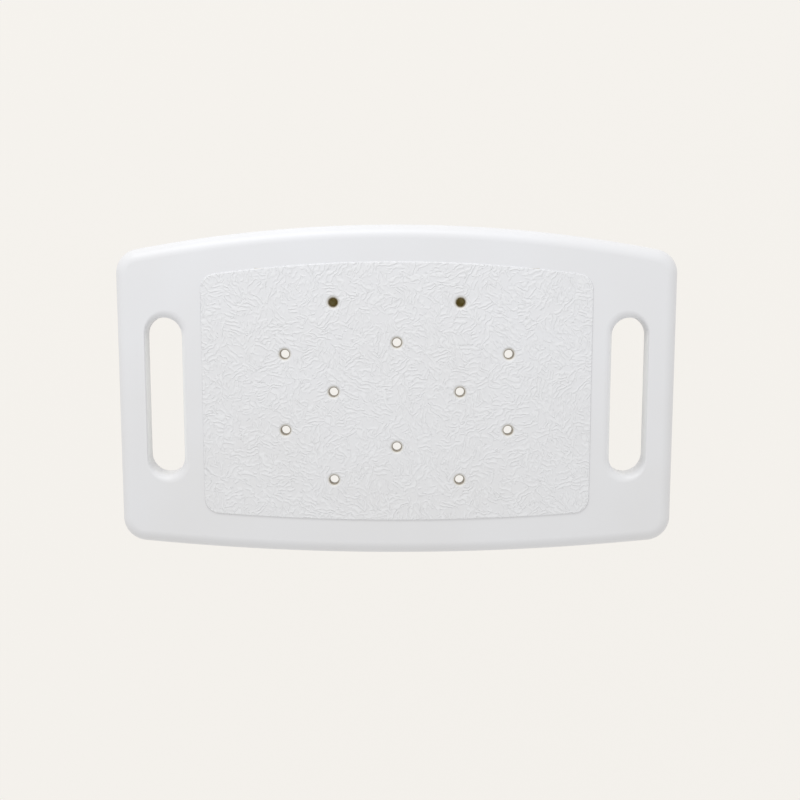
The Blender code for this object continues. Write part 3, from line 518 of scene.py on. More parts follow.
def make_bent_tube(legs):
    """The bent tube with its height holes, drawn upright about its hinge."""
    wide, reach = legs.half_width, UPPER_REACH
    tube = start(
        f"{legs.name}_bent_tube",
        bpy.ops.mesh.primitive_circle_add,
        vertices=TUBE_SIDES,
        radius=TUBE,
        location=(0.0, -wide, -reach),
    )
    pull(z=TUBE_END)
    pull(z=reach - BEND - TUBE_END)
    swing(-math.pi / 2, (0.0, BEND - wide, -BEND), 16, (1.0, 0.0, 0.0))
    pull(y=2 * (wide - BEND))
    swing(-math.pi / 2, (0.0, wide - BEND, -BEND), 16, (1.0, 0.0, 0.0))
    pull(z=BEND - reach + TUBE_END)
    pull(z=-TUBE_END)
    done()
    thicken(tube, TUBE_WALL)
    drills = []
    for end_name, end in ENDS:
        for i in range(HOLES):
            profile = [(BUTTON + GAP, TUBE / 2), (BUTTON + GAP, TUBE + OVERCUT)]
            drill = lathe(f"drill_{end_name}_{i}", profile, HOLE_SIDES)
            height = -FIRST_HOLE - HOLE_PITCH * i
            drills.append(placed(drill, (0.0, end * wide, height), (-end * math.pi / 2, 0.0, 0.0)))
    combine(tube, "DIFFERENCE", merged(drills))
    return hang(tube, legs)


def make_cross_tube(legs):
    """The cross tube with coped ends."""
    tube = start(
        f"{legs.name}_cross_tube",
        bpy.ops.mesh.primitive_circle_add,
        vertices=TUBE_SIDES,
        radius=STRETCHER,
        location=(0.0, -legs.half_width, -STRETCHER_REACH),
        rotation=(math.pi / 2, 0.0, 0.0),
    )
    pull(y=2 * legs.half_width)
    done()
    thicken(tube, STRETCHER_WALL)
    low, high = -STRETCHER_REACH - 2 * STRETCHER, -STRETCHER_REACH + 2 * STRETCHER
    copes = [
        lathe(f"cope_{end_name}", [(SADDLE, low), (SADDLE, high)], 64, (0.0, end * legs.half_width))
        for end_name, end in ENDS
    ]
    combine(tube, "DIFFERENCE", merged(copes))
    return hang(tube, legs)


def make_welds(legs):
    """The rippled beads along the edges where the cross tube meets the legs."""
    spread, segments = STRETCHER + 0.0002, 48
    bead = start(
        f"{legs.name}_front_weld",
        bpy.ops.mesh.primitive_torus_add,
        major_segments=segments,
        minor_segments=8,
        major_radius=spread,
        minor_radius=0.0016,
        location=(0.0, -legs.half_width, -STRETCHER_REACH),
        rotation=(math.pi / 2, 0.0, 0.0),
    )

    def ring_of(v):
        return round(math.atan2(v.co.z + STRETCHER_REACH, v.co.x) / math.tau * segments) % segments

    pick(bead, "VERT", lambda v: ring_of(v) % 2)
    bpy.ops.transform.shrink_fatten(value=-0.0003)
    for i in range(segments // 4 + 1):
        alike = (i, segments // 2 - i, segments // 2 + i, (segments - i) % segments)
        pick(bead, "VERT", lambda v: ring_of(v) in alike)
        across = spread * math.cos(i / segments * math.tau)
        bpy.ops.transform.translate(value=(0.0, math.sqrt(SADDLE**2 - across**2), 0.0))
    done()
    other = copied(bead, f"{legs.name}_back_weld", flip=(1, -1, 1))
    return [hang(bead, legs), hang(other, legs)]


def make_collar(legs, end_name, end):
    """The sleeve on the end of a leg tube, with three shallow grip grooves."""
    wall = 0.002
    outer = SADDLE + wall
    inner = LOWER_TUBE + GAP
    top, low = 0.010 - UPPER_REACH, -UPPER_REACH - 0.006
    profile = [(SADDLE, top - 0.0004), (SADDLE + 0.0005, top)]
    profile += [(outer - 0.0006, top), (outer, top - 0.0006)]
    for i in range(3):
        groove = top - 0.0032 - 0.0026 * i
        profile += [(outer, groove + 0.0006), (outer - 0.0004, groove + 0.0003)]
        profile += [(outer - 0.0004, groove - 0.0003), (outer, groove - 0.0006)]
    profile += bow((outer - wall, low + wall), wall, 0, -90, 5)
    profile += [(inner + 0.0005, low), (inner, low + 0.0005), (inner, -UPPER_REACH - GAP)]
    profile += [(SADDLE, -UPPER_REACH - GAP), (SADDLE, top - 0.0004)]
    place = (0.0, end * legs.half_width)
    collar = lathe(f"{legs.name}_{end_name}_end_collar", profile, TUBE_SIDES, place, ring=True)
    return hang(collar, legs)


def make_leg_tube(legs, end_name, end):
    """The tube that slides in the leg, with its one button hole."""
    edge = 0.0003
    low = -legs.length + FOOT_SOLE + 0.0022
    profile = [
        (LOWER_TUBE, -LOWER_TOP - edge), (LOWER_TUBE, low + edge), (LOWER_TUBE - edge, low),
        (LOWER_BORE, low), (LOWER_BORE, -LOWER_TOP), (LOWER_TUBE - edge, -LOWER_TOP),
        (LOWER_TUBE, -LOWER_TOP - edge),
    ]
    tube = lathe(f"{legs.name}_{end_name}_leg_tube", profile, 40, ring=True)
    drill = lathe("button_drill", [(BUTTON + GAP, TUBE / 2), (BUTTON + GAP, TUBE)], HOLE_SIDES)
    placed(drill, (0.0, 0.0, -FIRST_HOLE), (-end * math.pi / 2, 0.0, 0.0))
    combine(tube, "DIFFERENCE", drill)
    placed(tube, (0.0, end * legs.half_width, 0.0))
    return hang(tube, legs)


def make_rubber_tip(legs, end_name, end):
    """A ribbed, flared rubber foot, cut level with the floor, with a grooved sole."""
    floor, rim = -legs.length, 0.0015
    top = floor + FOOT_SOLE + FOOT_DEPTH
    profile = [(FOOT - 0.0002, floor - 0.005), (FOOT, floor + 0.0042)]
    profile += bow((FOOT - 0.001, floor + 0.0042), 0.001, 0, 60, 3)
    profile += bow((FOOT_SHAFT + 0.0031, floor + 0.0132), 0.003, 215, 180, 4)
    for i in range(3):
        groove = floor + 0.0165 + 0.0040 * i
        profile += [(FOOT_SHAFT, groove - 0.0011), (FOOT_SHAFT - 0.0007, groove - 0.0006)]
        profile += [(FOOT_SHAFT - 0.0007, groove + 0.0006), (FOOT_SHAFT, groove + 0.0011)]
    profile += bow((FOOT_SHAFT - rim, top - rim), rim, 0, 90, 4)
    profile += [(FOOT_SOCKET, top), (FOOT_SOCKET, floor + FOOT_SOLE)]
    place = (0.0, end * legs.half_width)
    tip = lathe(f"{legs.name}_{end_name}_rubber_tip", profile, TUBE_SIDES, place)
    hang(tip, legs)
    reopen(tip)
    bpy.ops.mesh.select_all(action="SELECT")
    bpy.ops.mesh.bisect(
        plane_co=(0.0, 0.0, 0.0), plane_no=(0.0, 0.0, 1.0), use_fill=True, clear_inner=True
    )
    pick(tip, "FACE", lambda face: face.normal.z < -0.99 and all(v.co.z < DOUBLED for v in face.verts))
    for margin in (0.0022, 0.0026):
        for thickness, depth in ((margin, 0.0), (0.0003, -0.0010), (0.0014, 0.0), (0.0003, 0.0010)):
            bpy.ops.mesh.inset(thickness=thickness, depth=depth)
    done()
    return tip


def make_button(legs, end_name, end):
    """The domed button that snaps out through both tubes."""
    dome_radius = 0.0052
    dome = bow((0.0, BUTTON_TIP - dome_radius), dome_radius, 43, 86, 8)
    flange_low = BUTTON_FLANGE_TOP - BUTTON_FLANGE_HEIGHT
    profile = [(BUTTON_FLANGE, flange_low), (BUTTON_FLANGE, BUTTON_FLANGE_TOP)]
    profile += [(BUTTON, BUTTON_FLANGE_TOP), (BUTTON, dome[0][1] - 0.0001)] + dome
    button = lathe(f"{legs.name}_{end_name}_spring_button", profile, 32)
    place = (0.0, end * legs.half_width, -FIRST_HOLE)
    return hang(placed(button, place, (-end * math.pi / 2, 0.0, 0.0)), legs)


def make_spring(legs, end_name, end):
    """The V of spring strip behind the button: front leaf, bend and back leaf."""
    half = SPRING_STRIP / 2
    bend = (SPRING_BACK + SPRING_BEND, -SPRING_DEPTH)
    first = (SPRING_FRONT + half, SPRING_TIP)
    runs = [
        ("to", (first[0], -SPRING_TIP)),
        ("to", (bend[0] + SPRING_BEND + half, -SPRING_DEPTH)),
        ("round", bend, -math.pi, 14),
        ("to", (SPRING_BACK - half, SPRING_TIP)),
        ("to", (SPRING_BACK + half, SPRING_TIP)),
        ("to", (SPRING_BACK + half, -SPRING_DEPTH)),
        ("round", bend, math.pi, 14),
        ("to", (SPRING_FRONT - half, -SPRING_TIP)),
        ("to", (SPRING_FRONT - half, SPRING_TIP)),
        ("to", first),
    ]
    spring = sketch(f"{legs.name}_{end_name}_leaf_spring", first, runs, -SPRING_WIDTH / 2)
    pull(z=SPRING_WIDTH)
    done()
    soften(spring, 0.00012)
    place = (0.0, end * legs.half_width, -FIRST_HOLE)
    return hang(placed(spring, place, (math.pi / 2, 0.0, end * math.pi / 2)), legs)


# Brackets, caps, clips and screws, drawn for the back right corner

def shape_gusset(legs):
    """The leg stop: a plate outside the bend, leaning with the leg."""
    lean = SADDLE * math.tan(SPLAY)
    width = 0.011
    outer = legs.half_width + width
    curve = BEND - width
    bend_y = legs.half_width - BEND
    cap_side = legs.saddle_y + BRACKET_WIDTH / 2 + GAP
    top = legs.drop + 0.010
    low = -0.055 / math.cos(SPLAY) - 0.006
    shoulder = 0.005 - lean
    neck = legs.drop / math.cos(SPLAY) - lean
    runs = [
        ("to", (outer, shoulder)),
        ("to", (outer + 0.005 - legs.drop, neck)),
        ("to", (outer + 0.005 - legs.drop, top)),
        ("to", (legs.saddle_y, top)),
        ("to", (legs.saddle_y, GAP)),
        ("to", (cap_side, GAP)),
        ("to", (cap_side, curve - BEND)),
        ("to", (bend_y, curve - BEND)),
        ("round", (bend_y, -BEND), -math.pi / 2, 14),
        ("to", (bend_y + curve, low)),
    ]
    gusset = sketch("gusset", (outer, low), runs, SADDLE)
    pull(z=GUSSET * math.cos(SPLAY))
    done()
    placed(gusset, turn=(math.pi / 2, 0.0, math.pi / 2))
    hang(gusset, legs)
    reopen(gusset)
    for height, keep_below in ((UNDERSIDE - GAP, True), (legs.hinge_z - 0.0543, False)):
        bpy.ops.mesh.select_all(action="SELECT")
        bpy.ops.mesh.bisect(
            plane_co=(0.0, 0.0, height),
            plane_no=(0.0, 0.0, 1.0),
            use_fill=True,
            clear_outer=keep_below,
            clear_inner=not keep_below,
        )
    done()
    soften(gusset, SOFT_EDGE, 3)
    return gusset


def screw_holes(legs, low, high):
    drills = []
    for offset in (-SCREW_OFFSET, SCREW_OFFSET):
        place = (HINGE_X + offset, legs.saddle_y)
        drills.append(lathe("screw_drill", [(SCREW_HOLE, low), (SCREW_HOLE, high)], HOLE_SIDES, place))
    return merged(drills)


def stand_at_saddle(piece, legs):
    """Turns a piece that was drawn flat up on edge, at the saddle."""
    y = legs.saddle_y + BRACKET_WIDTH / 2
    return placed(piece, (HINGE_X, y, legs.hinge_z), (math.pi / 2, 0.0, 0.0))


def shape_bracket(legs):
    """Saddle block and leg stop in one moulding."""
    half, top = BRACKET_HALF, legs.drop - GAP
    runs = [
        ("to", (half, GAP / 2)),
        ("to", (half, top)),
        ("to", (-half, top)),
        ("to", (-half, GAP / 2)),
        ("to", (-SADDLE, GAP / 2)),
        ("round", (0.0, GAP / 2), -math.pi, 28),
    ]
    block = sketch(f"{legs.name}_bracket", (SADDLE, GAP / 2), runs)
    pull(z=BRACKET_WIDTH)
    done()
    stand_at_saddle(block, legs)
    soften(block, SOFT_EDGE, 3)
    combine(block, "UNION", shape_gusset(legs))
    combine(block, "DIFFERENCE", screw_holes(legs, legs.hinge_z - OVERCUT, UNDERSIDE + OVERCUT))
    return block


def shape_cap(legs):
    """The lower half of the saddle, rounded below."""
    half, split, corner = BRACKET_HALF, -GAP / 2, 0.002
    runs = [
        ("to", (-half, split)),
        ("to", (-half, corner - CAP_REACH)),
        ("round", (corner - half, corner - CAP_REACH), math.pi / 2, 6),
        ("to", (half - corner, -CAP_REACH)),
        ("round", (half - corner, corner - CAP_REACH), math.pi / 2, 6),
        ("to", (half, split)),
        ("to", (SADDLE, split)),
        ("round", (0.0, split), -math.pi, 28),
    ]
    cap = sketch(f"{legs.name}_cap", (-SADDLE, split), runs)
    pull(z=BRACKET_WIDTH)
    done()
    stand_at_saddle(cap, legs)
    soften(cap, SOFT_EDGE, 3)
    low, high = legs.hinge_z - CAP_REACH - OVERCUT, legs.hinge_z + OVERCUT
    combine(cap, "DIFFERENCE", screw_holes(legs, low, high))
    return cap


def shape_screw(name, seat, shank, bite, head, height, socket, depth):
    """A round-headed socket screw, head down under its seat, with as much of it in the board as it bites."""
    low, edge = seat - height, 0.0002
    profile = [(shank, UNDERSIDE + bite), (shank, seat), (head - edge, seat), (head, seat - edge)]
    for inward, up in ((0.0, 0.55), (0.18, 0.22), (0.42, 0.04), (0.60, 0.0)):
        profile.append((head - inward * height, low + up * height))
    screw = lathe(name, profile, 32)
    key = lathe("hex_key", [(socket, low - OVERCUT), (socket, low + depth)], 6)
    combine(screw, "DIFFERENCE", key)
    return screw


def shape_clip(legs):
    """The storage clip: a plate plugged into a drain, with two fingers for the folded cross tube."""
    x, corner = legs.clip_x, CLIP_CORNER
    drain_x = math.copysign(CLIP_DRAIN[0], x)
    plate_low = UNDERSIDE - GAP - CLIP_PLATE
    low_x, high_x = min(x, drain_x) - CLIP_MARGIN, max(x, drain_x) + CLIP_MARGIN
    runs = [
        ("to", (high_x, CLIP_BACK - corner)),
        ("round", (high_x - corner, CLIP_BACK - corner), math.pi / 2, 8),
        ("to", (low_x + corner, CLIP_BACK)),
        ("round", (low_x + corner, CLIP_BACK - corner), math.pi / 2, 8),
        ("to", (low_x, CLIP_FRONT + corner)),
        ("round", (low_x + corner, CLIP_FRONT + corner), math.pi / 2, 8),
        ("to", (high_x - corner, CLIP_FRONT)),
        ("round", (high_x - corner, CLIP_FRONT + corner), math.pi / 2, 8),
    ]
    first = (high_x, CLIP_FRONT + corner)
    clip = sketch(f"{legs.name}_stretcher_clip", first, runs, plate_low)
    pull(z=CLIP_PLATE)
    done()
    combine(clip, "UNION", shape_fingers(legs, x, plate_low))
    foot = CONE_FOOT - GAP
    spigot = [(foot - 0.0005, plate_low + 0.001), (foot - 0.0005, UNDERSIDE)]
    spigot += [(foot - 0.002, UNDERSIDE + 0.005), (foot - 0.0035, UNDERSIDE + 0.0052)]
    combine(clip, "UNION", lathe("spigot", spigot, 40, (drain_x, CLIP_DRAIN[1])))
    drill = [(CLIP_SCREW_HOLE, plate_low - 0.001), (CLIP_SCREW_HOLE, UNDERSIDE)]
    combine(clip, "DIFFERENCE", lathe("clip_drill", drill, HOLE_SIDES, (x, CLIP_SCREW_Y)))
    soften(clip, SOFT_EDGE / 2)
    return clip


def shape_fingers(legs, x, plate_low):
    """The two fingers about the cross tube, on a neck where the plate is far above it."""
    grip = STRETCHER + GAP
    outer, mouth, stem = grip + 0.0034, grip + 0.0012, 0.008
    centre = legs.hinge_z
    tip, root = centre - 0.006, plate_low + 0.001
    shoulder = centre + grip + 0.0035
    neck = shoulder + outer - stem
    sides = [(outer, root)] if neck >= plate_low else [(outer, shoulder), (stem, neck), (stem, root)]
    runs = [("to", (mouth, tip)), ("to", (outer, tip))]
    runs += [("to", point) for point in sides]
    runs += [("to", (-across, height)) for across, height in reversed(sides)]
    runs += [("to", (-outer, tip)), ("to", (-mouth, tip)), ("to", (-grip, centre))]
    runs += [("round", (0.0, centre), -math.pi, 20)]
    fingers = sketch("fingers", (grip, centre), runs)
    pull(z=CLIP_GRIP[1] - CLIP_GRIP[0])
    done()
    return placed(fingers, (x, CLIP_GRIP[1], 0.0), (math.pi / 2, 0.0, 0.0))


# Finishes

class Level:
    """A number that varies over a surface, wrapped so that it can be written into sums."""

    def __init__(self, finish, socket):
        self.finish = finish
        self.socket = socket

    def work(self, operation, first, second=0.0):
        return self.finish.node("ShaderNodeMath", {"operation": operation}, {0: first, 1: second})

    def __add__(self, other):
        return self.work("ADD", self, other)

    def __radd__(self, other):
        return self.work("ADD", other, self)

    def __sub__(self, other):
        return self.work("SUBTRACT", self, other)

    def __rsub__(self, other):
        return self.work("SUBTRACT", other, self)

    def __mul__(self, other):
        return self.work("MULTIPLY", self, other)

    def __rmul__(self, other):
        return self.work("MULTIPLY", other, self)

    def __abs__(self):
        return self.work("ABSOLUTE", self)

    def most(self, other):
        return self.work("MAXIMUM", self, other)


class Finish:
    """A material under construction."""

    def __init__(self, name, **settings):
        self.material = bpy.data.materials.new(name)
        self.material.use_nodes = True
        self.tree = self.material.node_tree
        self.shader = self.tree.nodes["Principled BSDF"]
        for socket, value in settings.items():
            self.feed(self.shader.inputs[socket.replace("_", " ")], value)
        self.place = self.node("ShaderNodeTexCoord", output="Object")

    def feed(self, socket, value):
        if isinstance(value, Level):
            self.tree.links.new(value.socket, socket)
        else:
            socket.default_value = value

    def node(self, kind, settings=None, inputs=None, output=0):
        """Adds any node: its settings first, then the values or links of its sockets."""
        node = self.tree.nodes.new(kind)
        for key, value in (settings or {}).items():
            setattr(node, key, value)
        for key, value in (inputs or {}).items():
            self.feed(node.inputs[key], value)
        return Level(self, node.outputs[output])

    def noise(self, scale, detail=2.0, roughness=0.5, distortion=0.0, place=None, output=0):
        inputs = {"Vector": place or self.place, "Scale": scale, "Detail": detail}
        inputs.update({"Roughness": roughness, "Distortion": distortion})
        return self.node("ShaderNodeTexNoise", inputs=inputs, output=output)

    def turned(self, turn=(0.0, 0.0, 0.0), scale=(1.0, 1.0, 1.0), move=(0.0, 0.0, 0.0), place=None):
        """The place turned, scaled and moved."""
        inputs = {"Vector": place or self.place, "Location": move, "Rotation": turn, "Scale": scale}
        return self.node("ShaderNodeMapping", inputs=inputs)

    def along(self, axis):
        return self.node("ShaderNodeSeparateXYZ", inputs={0: self.place}, output=axis)

    def height(self):
        return self.along(2)

    def step(self, value, low, high):
        """0 below low, 1 above high, and smooth between."""
        inputs = {"Value": value, "From Min": low, "From Max": high}
        return self.node("ShaderNodeMapRange", {"interpolation_type": "SMOOTHSTEP"}, inputs)

    def blend(self, first, second, share):
        """The first colour where the share is 0 and the second where it is 1."""
        colours = [colour if isinstance(colour, Level) else (*colour, 1.0) for colour in (first, second)]
        inputs = {0: share, 6: colours[0], 7: colours[1]}
        return self.node("ShaderNodeMix", {"data_type": "RGBA"}, inputs, output=2)

    def set(self, socket, value):
        self.feed(self.shader.inputs[socket], value)

    def relief(self, height, distance):
        """Raises the surface by the height, at most by the distance."""
        inputs = {"Height": height, "Distance": distance, "Strength": 1.0}
        self.set("Normal", self.node("ShaderNodeBump", inputs=inputs))


def strokes(finish, cell, seed, pitch, cover):
    """Patches of short bent strokes side by side, each patch turned its own way."""
    bend = {0: finish.noise(60.0, 1.0, output=1), 1: (0.012, 0.012, 0.0), 2: finish.place}
    bent = finish.node("ShaderNodeVectorMath", {"operation": "MULTIPLY_ADD"}, bend)
    inputs = {"Vector": finish.turned(move=(seed, seed * 0.7, 0.0), place=bent), "Scale": cell}
    patch = finish.node("ShaderNodeTexVoronoi", {"voronoi_dimensions": "2D"}, inputs, output=1)
    turn = finish.node("ShaderNodeSeparateXYZ", inputs={0: patch}) * math.tau
    inputs = {"Vector": finish.place, "Angle": turn}
    place = finish.node("ShaderNodeVectorRotate", {"rotation_type": "Z_AXIS"}, inputs)
    across = finish.node("ShaderNodeSeparateXYZ", inputs={0: place})
    level = across * (1.0 / pitch) + 2.6 * finish.noise(120.0, 1.0)
    wave = finish.node("ShaderNodeMath", {"operation": "PINGPONG"}, {0: level, 1: 0.5})
    breaks = finish.noise(1.0, 1.0, place=finish.turned(scale=(200.0, 80.0, 1.0), place=place))
    return finish.step(wave, 0.10, 0.46) * finish.step(breaks, cover, cover + 0.14)


def board_finish():
    """Satin plastic: grained strokes on the field with painted highlights, painted light towards the back,
    painted shade in the darker drain holes and painted light on the paler walls in the hand slots.
    """
    # shaded and lit are painted shade at the front and painted light at the back; raised is a painted
    # highlight on the strokes
    shaded, lit, raised = (0.770, 0.769, 0.779), (0.806, 0.813, 0.840), (0.846, 0.852, 0.868)
    # painted light on the slot walls; painted shade on the drain rims and in their bores
    painted_slot_wall_light, painted_drain_rim_shade, painted_drain_bore_shade = (0.910, 0.918, 0.920), (0.730, 0.715, 0.675), (0.330, 0.285, 0.225)
    finish = Finish("satin_polyethylene")
    height, across, along = finish.height(), abs(finish.along(0)), finish.along(1)
    field = finish.step(height, 0.3944, 0.3949)
    crinkle = strokes(finish, 75.0, 1.0, 0.0040, 0.38)
    crinkle = crinkle.most(0.8 * strokes(finish, 90.0, 4.0, 0.0046, 0.48))
    swirl = finish.noise(210.0, 2.0, 0.5)
    grain = finish.noise(2600.0, 2.0)
    cloud = finish.step(finish.noise(6.0, 3.0, 0.6), 0.35, 0.65)
    # cloudy at random, and lighter towards the back with painted light
    colour = finish.blend(shaded, lit, 0.4 * cloud + 0.6 * finish.step(along, -0.10, 0.14))
    # painted highlight: the raised strokes are lighter than the ground between them
    colour = finish.blend(colour, raised, field * crinkle * 0.55)
    # painted light: the walls in the hand slots are paler, standing in for light that reaches them
    beside_slot = finish.step(abs(across - SLOT_X), 0.0188, 0.0194)
    beside_slot = beside_slot.most(finish.step(abs(along - SLOT_Y), 0.048, 0.064))
    above_wall = finish.step(height, 0.3910, 0.3938)
    colour = finish.blend(painted_slot_wall_light, colour, beside_slot.most(above_wall))
    # painted shade: the rims and bores of the drain holes are darker; elsewhere and in the cones below the
    # colour stays
    outside = finish.step(across.most(abs(along) + 0.015), 0.125, 0.126)
    in_cone = 1.0 - finish.step(height, CONE_CEILING + 0.0001, CONE_CEILING + 0.0004)
    outside = outside.most(in_cone)
    colour = finish.blend(painted_drain_rim_shade, colour, finish.step(height, 0.3941, 0.3950).most(outside))
    colour = finish.blend(painted_drain_bore_shade, colour, finish.step(height, 0.3930, 0.3944).most(outside))
    finish.set("Base Color", colour)
    finish.set("Roughness", 0.36 + 0.08 * finish.noise(35.0, 4.0, 0.6) + 0.06 * field)
    finish.relief(field * (crinkle + swirl * 0.4) + grain * 0.02, 0.00034)
    return finish.material


def moulded_nylon(name, pale, deep, **settings):
    """Nylon that is cloudy in tone and finely grained."""
    finish = Finish(name, **settings)
    tone = finish.step(finish.noise(30.0, 4.0, 0.6, 0.3), 0.35, 0.68)
    finish.set("Base Color", finish.blend(deep, pale, tone))
    finish.set("Roughness", 0.46 + 0.12 * finish.noise(90.0, 3.0))
    finish.relief(finish.noise(1500.0, 3.0, 0.6) + 0.4 * finish.noise(160.0, 2.0), 0.00005)
    return finish


def bracket_finish():
    return moulded_nylon("grey_nylon", (0.300, 0.305, 0.312), (0.270, 0.275, 0.282)).material


def clip_finish():
    """Black nylon, with painted light on the plug in its drain: a faint brown glow, though the plug is no
    lamp.
    """
    pale, deep = (0.066, 0.064, 0.056), (0.045, 0.043, 0.038)
    # painted light: dim and bright tones of the glow painted on the plug
    dim, bright = (0.060, 0.042, 0.006), (0.098, 0.078, 0.030)
    finish = moulded_nylon("black_nylon", pale, deep, Emission_Strength=1.0)
    glow = finish.blend(dim, bright, finish.step(finish.noise(260.0, 2.0), 0.35, 0.65))
    # the painted glow lies only on the top of the plug
    plug = finish.step(finish.height(), 0.3705, 0.3715)
    finish.set("Emission Color", finish.blend((0.0, 0.0, 0.0), glow, plug))
    return finish.material


def aluminium_finish(name, lean):
    """Satin anodised tube, with faint marks drawn along it."""
    dull, bright = (0.690, 0.700, 0.712), (0.745, 0.752, 0.760)
    finish = Finish(name, Metallic=1.0)
    along = finish.turned(turn=(0.0, lean, 0.0), scale=(1.0, 0.004, 0.004))
    marks = finish.noise(5200.0, 3.0, 0.6, 0.0, along)
    cloud = finish.noise(26.0, 3.0, 0.55)
    finish.set("Base Color", finish.blend(dull, bright, finish.step(marks, 0.3, 0.7)))
    finish.set("Roughness", 0.27 + 0.10 * marks + 0.05 * cloud)
    finish.relief(marks + 0.15 * cloud, 0.000012)
    return finish.material


def steel_finish():
    finish = Finish("stainless_steel", Metallic=1.0)
    cloud = finish.noise(220.0, 3.0, 0.6)
    finish.set("Base Color", finish.blend((0.540, 0.530, 0.520), (0.640, 0.630, 0.615), cloud))
    finish.set("Roughness", 0.20 + 0.14 * finish.noise(900.0, 3.0, 0.6))
    finish.relief(finish.noise(3000.0, 2.0), 0.000008)
    return finish.material


def weld_finish():
    finish = Finish("welded_aluminium", Metallic=1.0)
    cloud = finish.noise(700.0, 3.0, 0.6)
    finish.set("Base Color", finish.blend((0.560, 0.560, 0.560), (0.700, 0.700, 0.700), cloud))
    finish.set("Roughness", 0.34 + 0.20 * cloud)
    finish.relief(finish.noise(1400.0, 3.0, 0.6), 0.00008)
    return finish.material


def rubber_finish():
    """Matte rubber, dustier near the floor."""
    clean, dusty = (0.085, 0.086, 0.088), (0.150, 0.148, 0.145)
    finish = Finish("grey_rubber")
    dust = finish.step(finish.noise(80.0, 5.0, 0.65, 0.4), 0.45, 0.75)
    low = 1.0 - finish.step(finish.height(), 0.0, 0.006)
    finish.set("Base Color", finish.blend(clean, dusty, (dust * 0.4).most(low * dust)))
    finish.set("Roughness", 0.66 + 0.18 * finish.noise(300.0, 3.0))
    finish.relief(finish.noise(2200.0, 3.0, 0.6), 0.00006)
    return finish.material


# Assembly

def settle(piece, body, finish, slot, *nodes, angle=38.0):
    """Shades a finished piece, gives it its finish and puts it in place of its solid."""
    only(piece)
    bpy.ops.object.shade_smooth_by_angle(angle=math.radians(angle))
    modifier = piece.modifiers.new("even", "WEIGHTED_NORMAL")
    modifier.keep_sharp = True
    apply(piece, modifier)
    piece.data.materials.clear()
    piece.data.materials.append(finish)
    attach(piece, body)
    if nodes:
        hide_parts(*nodes)


def dress_bench():
    grey, black, steel = bracket_finish(), clip_finish(), steel_finish()
    rubber, weld = rubber_finish(), weld_finish()
    settle(make_board(), "seat", board_finish(), "white_polyethylene", "seat_board")
    for legs in (LEFT, RIGHT):
        body = f"{legs.name}_frame"
        aluminium = aluminium_finish(f"{legs.name}_anodised_aluminium", legs.way * SPLAY)
        tube, cross_tube = make_bent_tube(legs), make_cross_tube(legs)
        settle(tube, body, aluminium, "anodised_aluminium", f"{legs.name}_leg_frame")
        settle(cross_tube, body, aluminium, "anodised_aluminium", f"{legs.name}_stretcher")
        for bead in make_welds(legs):
            settle(bead, body, weld, "anodised_aluminium")
        dress_fixings(legs, grey, steel)
        dress_clip(legs, black, steel)
        for end_name, end in ENDS:
            collar = make_collar(legs, end_name, end)
            settle(collar, body, grey, "grey_nylon", f"{legs.name}_{end_name}_collar")
            dress_leg(legs, end_name, end, aluminium, rubber, steel, grey)


def dress_fixings(legs, grey, steel):
    """Brackets, caps and screws of one leg frame, each drawn once and mirrored to the corners."""
    side, drawn = legs.name, replace(legs, way=1)
    bracket, cap = shape_bracket(drawn), shape_cap(drawn)
    seat = legs.hinge_z - CAP_REACH - GAP
    screw = shape_screw(f"{side}_screw", seat, **LONG_SCREW)
    for end_name, end in ENDS:
        flip = (legs.way, end, 1)
        name = f"{side}_{end_name}"
        twin = copied(bracket, f"{name}_moulded_bracket", flip=flip)
        settle(twin, "seat", grey, "grey_nylon", f"{name}_hinge_bracket")
        twin = copied(cap, f"{name}_saddle_cap", flip=flip)
        settle(twin, "seat", grey, "grey_nylon", f"{name}_hinge_cap")
        for place, offset in (("inner", -SCREW_OFFSET), ("outer", SCREW_OFFSET)):
            spot = (legs.way * (HINGE_X + offset), end * legs.saddle_y, 0.0)
            twin = copied(screw, f"{name}_{place}_socket_screw", spot)
            settle(twin, "seat", steel, "stainless_steel", f"{name}_{place}_screw")
    for tool in (bracket, cap, screw):
        bpy.data.objects.remove(tool, do_unlink=True)


def dress_clip(legs, black, steel):
    """The clip for a folded leg frame, with its screw."""
    side = legs.name
    settle(shape_clip(legs), "seat", black, "black_nylon", f"{side}_storage_clip")
    seat = UNDERSIDE - GAP - CLIP_PLATE - GAP
    screw = shape_screw(f"{side}_clip_socket_screw", seat, **CLIP_SCREW)
    placed(screw, (legs.clip_x, CLIP_SCREW_Y, 0.0))
    settle(screw, "seat", steel, "stainless_steel", f"{side}_clip_screw")


def dress_leg(legs, end_name, end, aluminium, rubber, steel, grey):
    """One sliding leg: tube, foot, button and the spring that closes up behind it."""
    name = f"{legs.name}_{end_name}"
    body = f"{name}_leg"
    tube, tip = make_leg_tube(legs, end_name, end), make_rubber_tip(legs, end_name, end)
    settle(tube, body, aluminium, "anodised_aluminium", f"{name}_lower_leg")
    settle(tip, body, rubber, "grey_rubber", f"{name}_foot")
    button, spring = make_button(legs, end_name, end), make_spring(legs, end_name, end)
    settle(button, f"{name}_button", steel, "stainless_steel", f"{name}_snap_button")
    settle(spring, body, steel, "stainless_steel", f"{name}_button_spring")
    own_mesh(spring)
    for node, finish in (("glide_plug", grey), ("foot_washer", steel)):
        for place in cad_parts[f"{name}_{node}"].material_slots:
            place.material = finish


# Floor, light and camera

PALE = (0.913, 0.888, 0.847, 1.0)
SKY = (1.0, 0.997, 0.990, 1.0)
SKY_STRENGTH = 0.79
FLOOR_RADIUS = 6.0
FLOOR_DROP = 0.0004
FLOOR_GLOW = 0.93


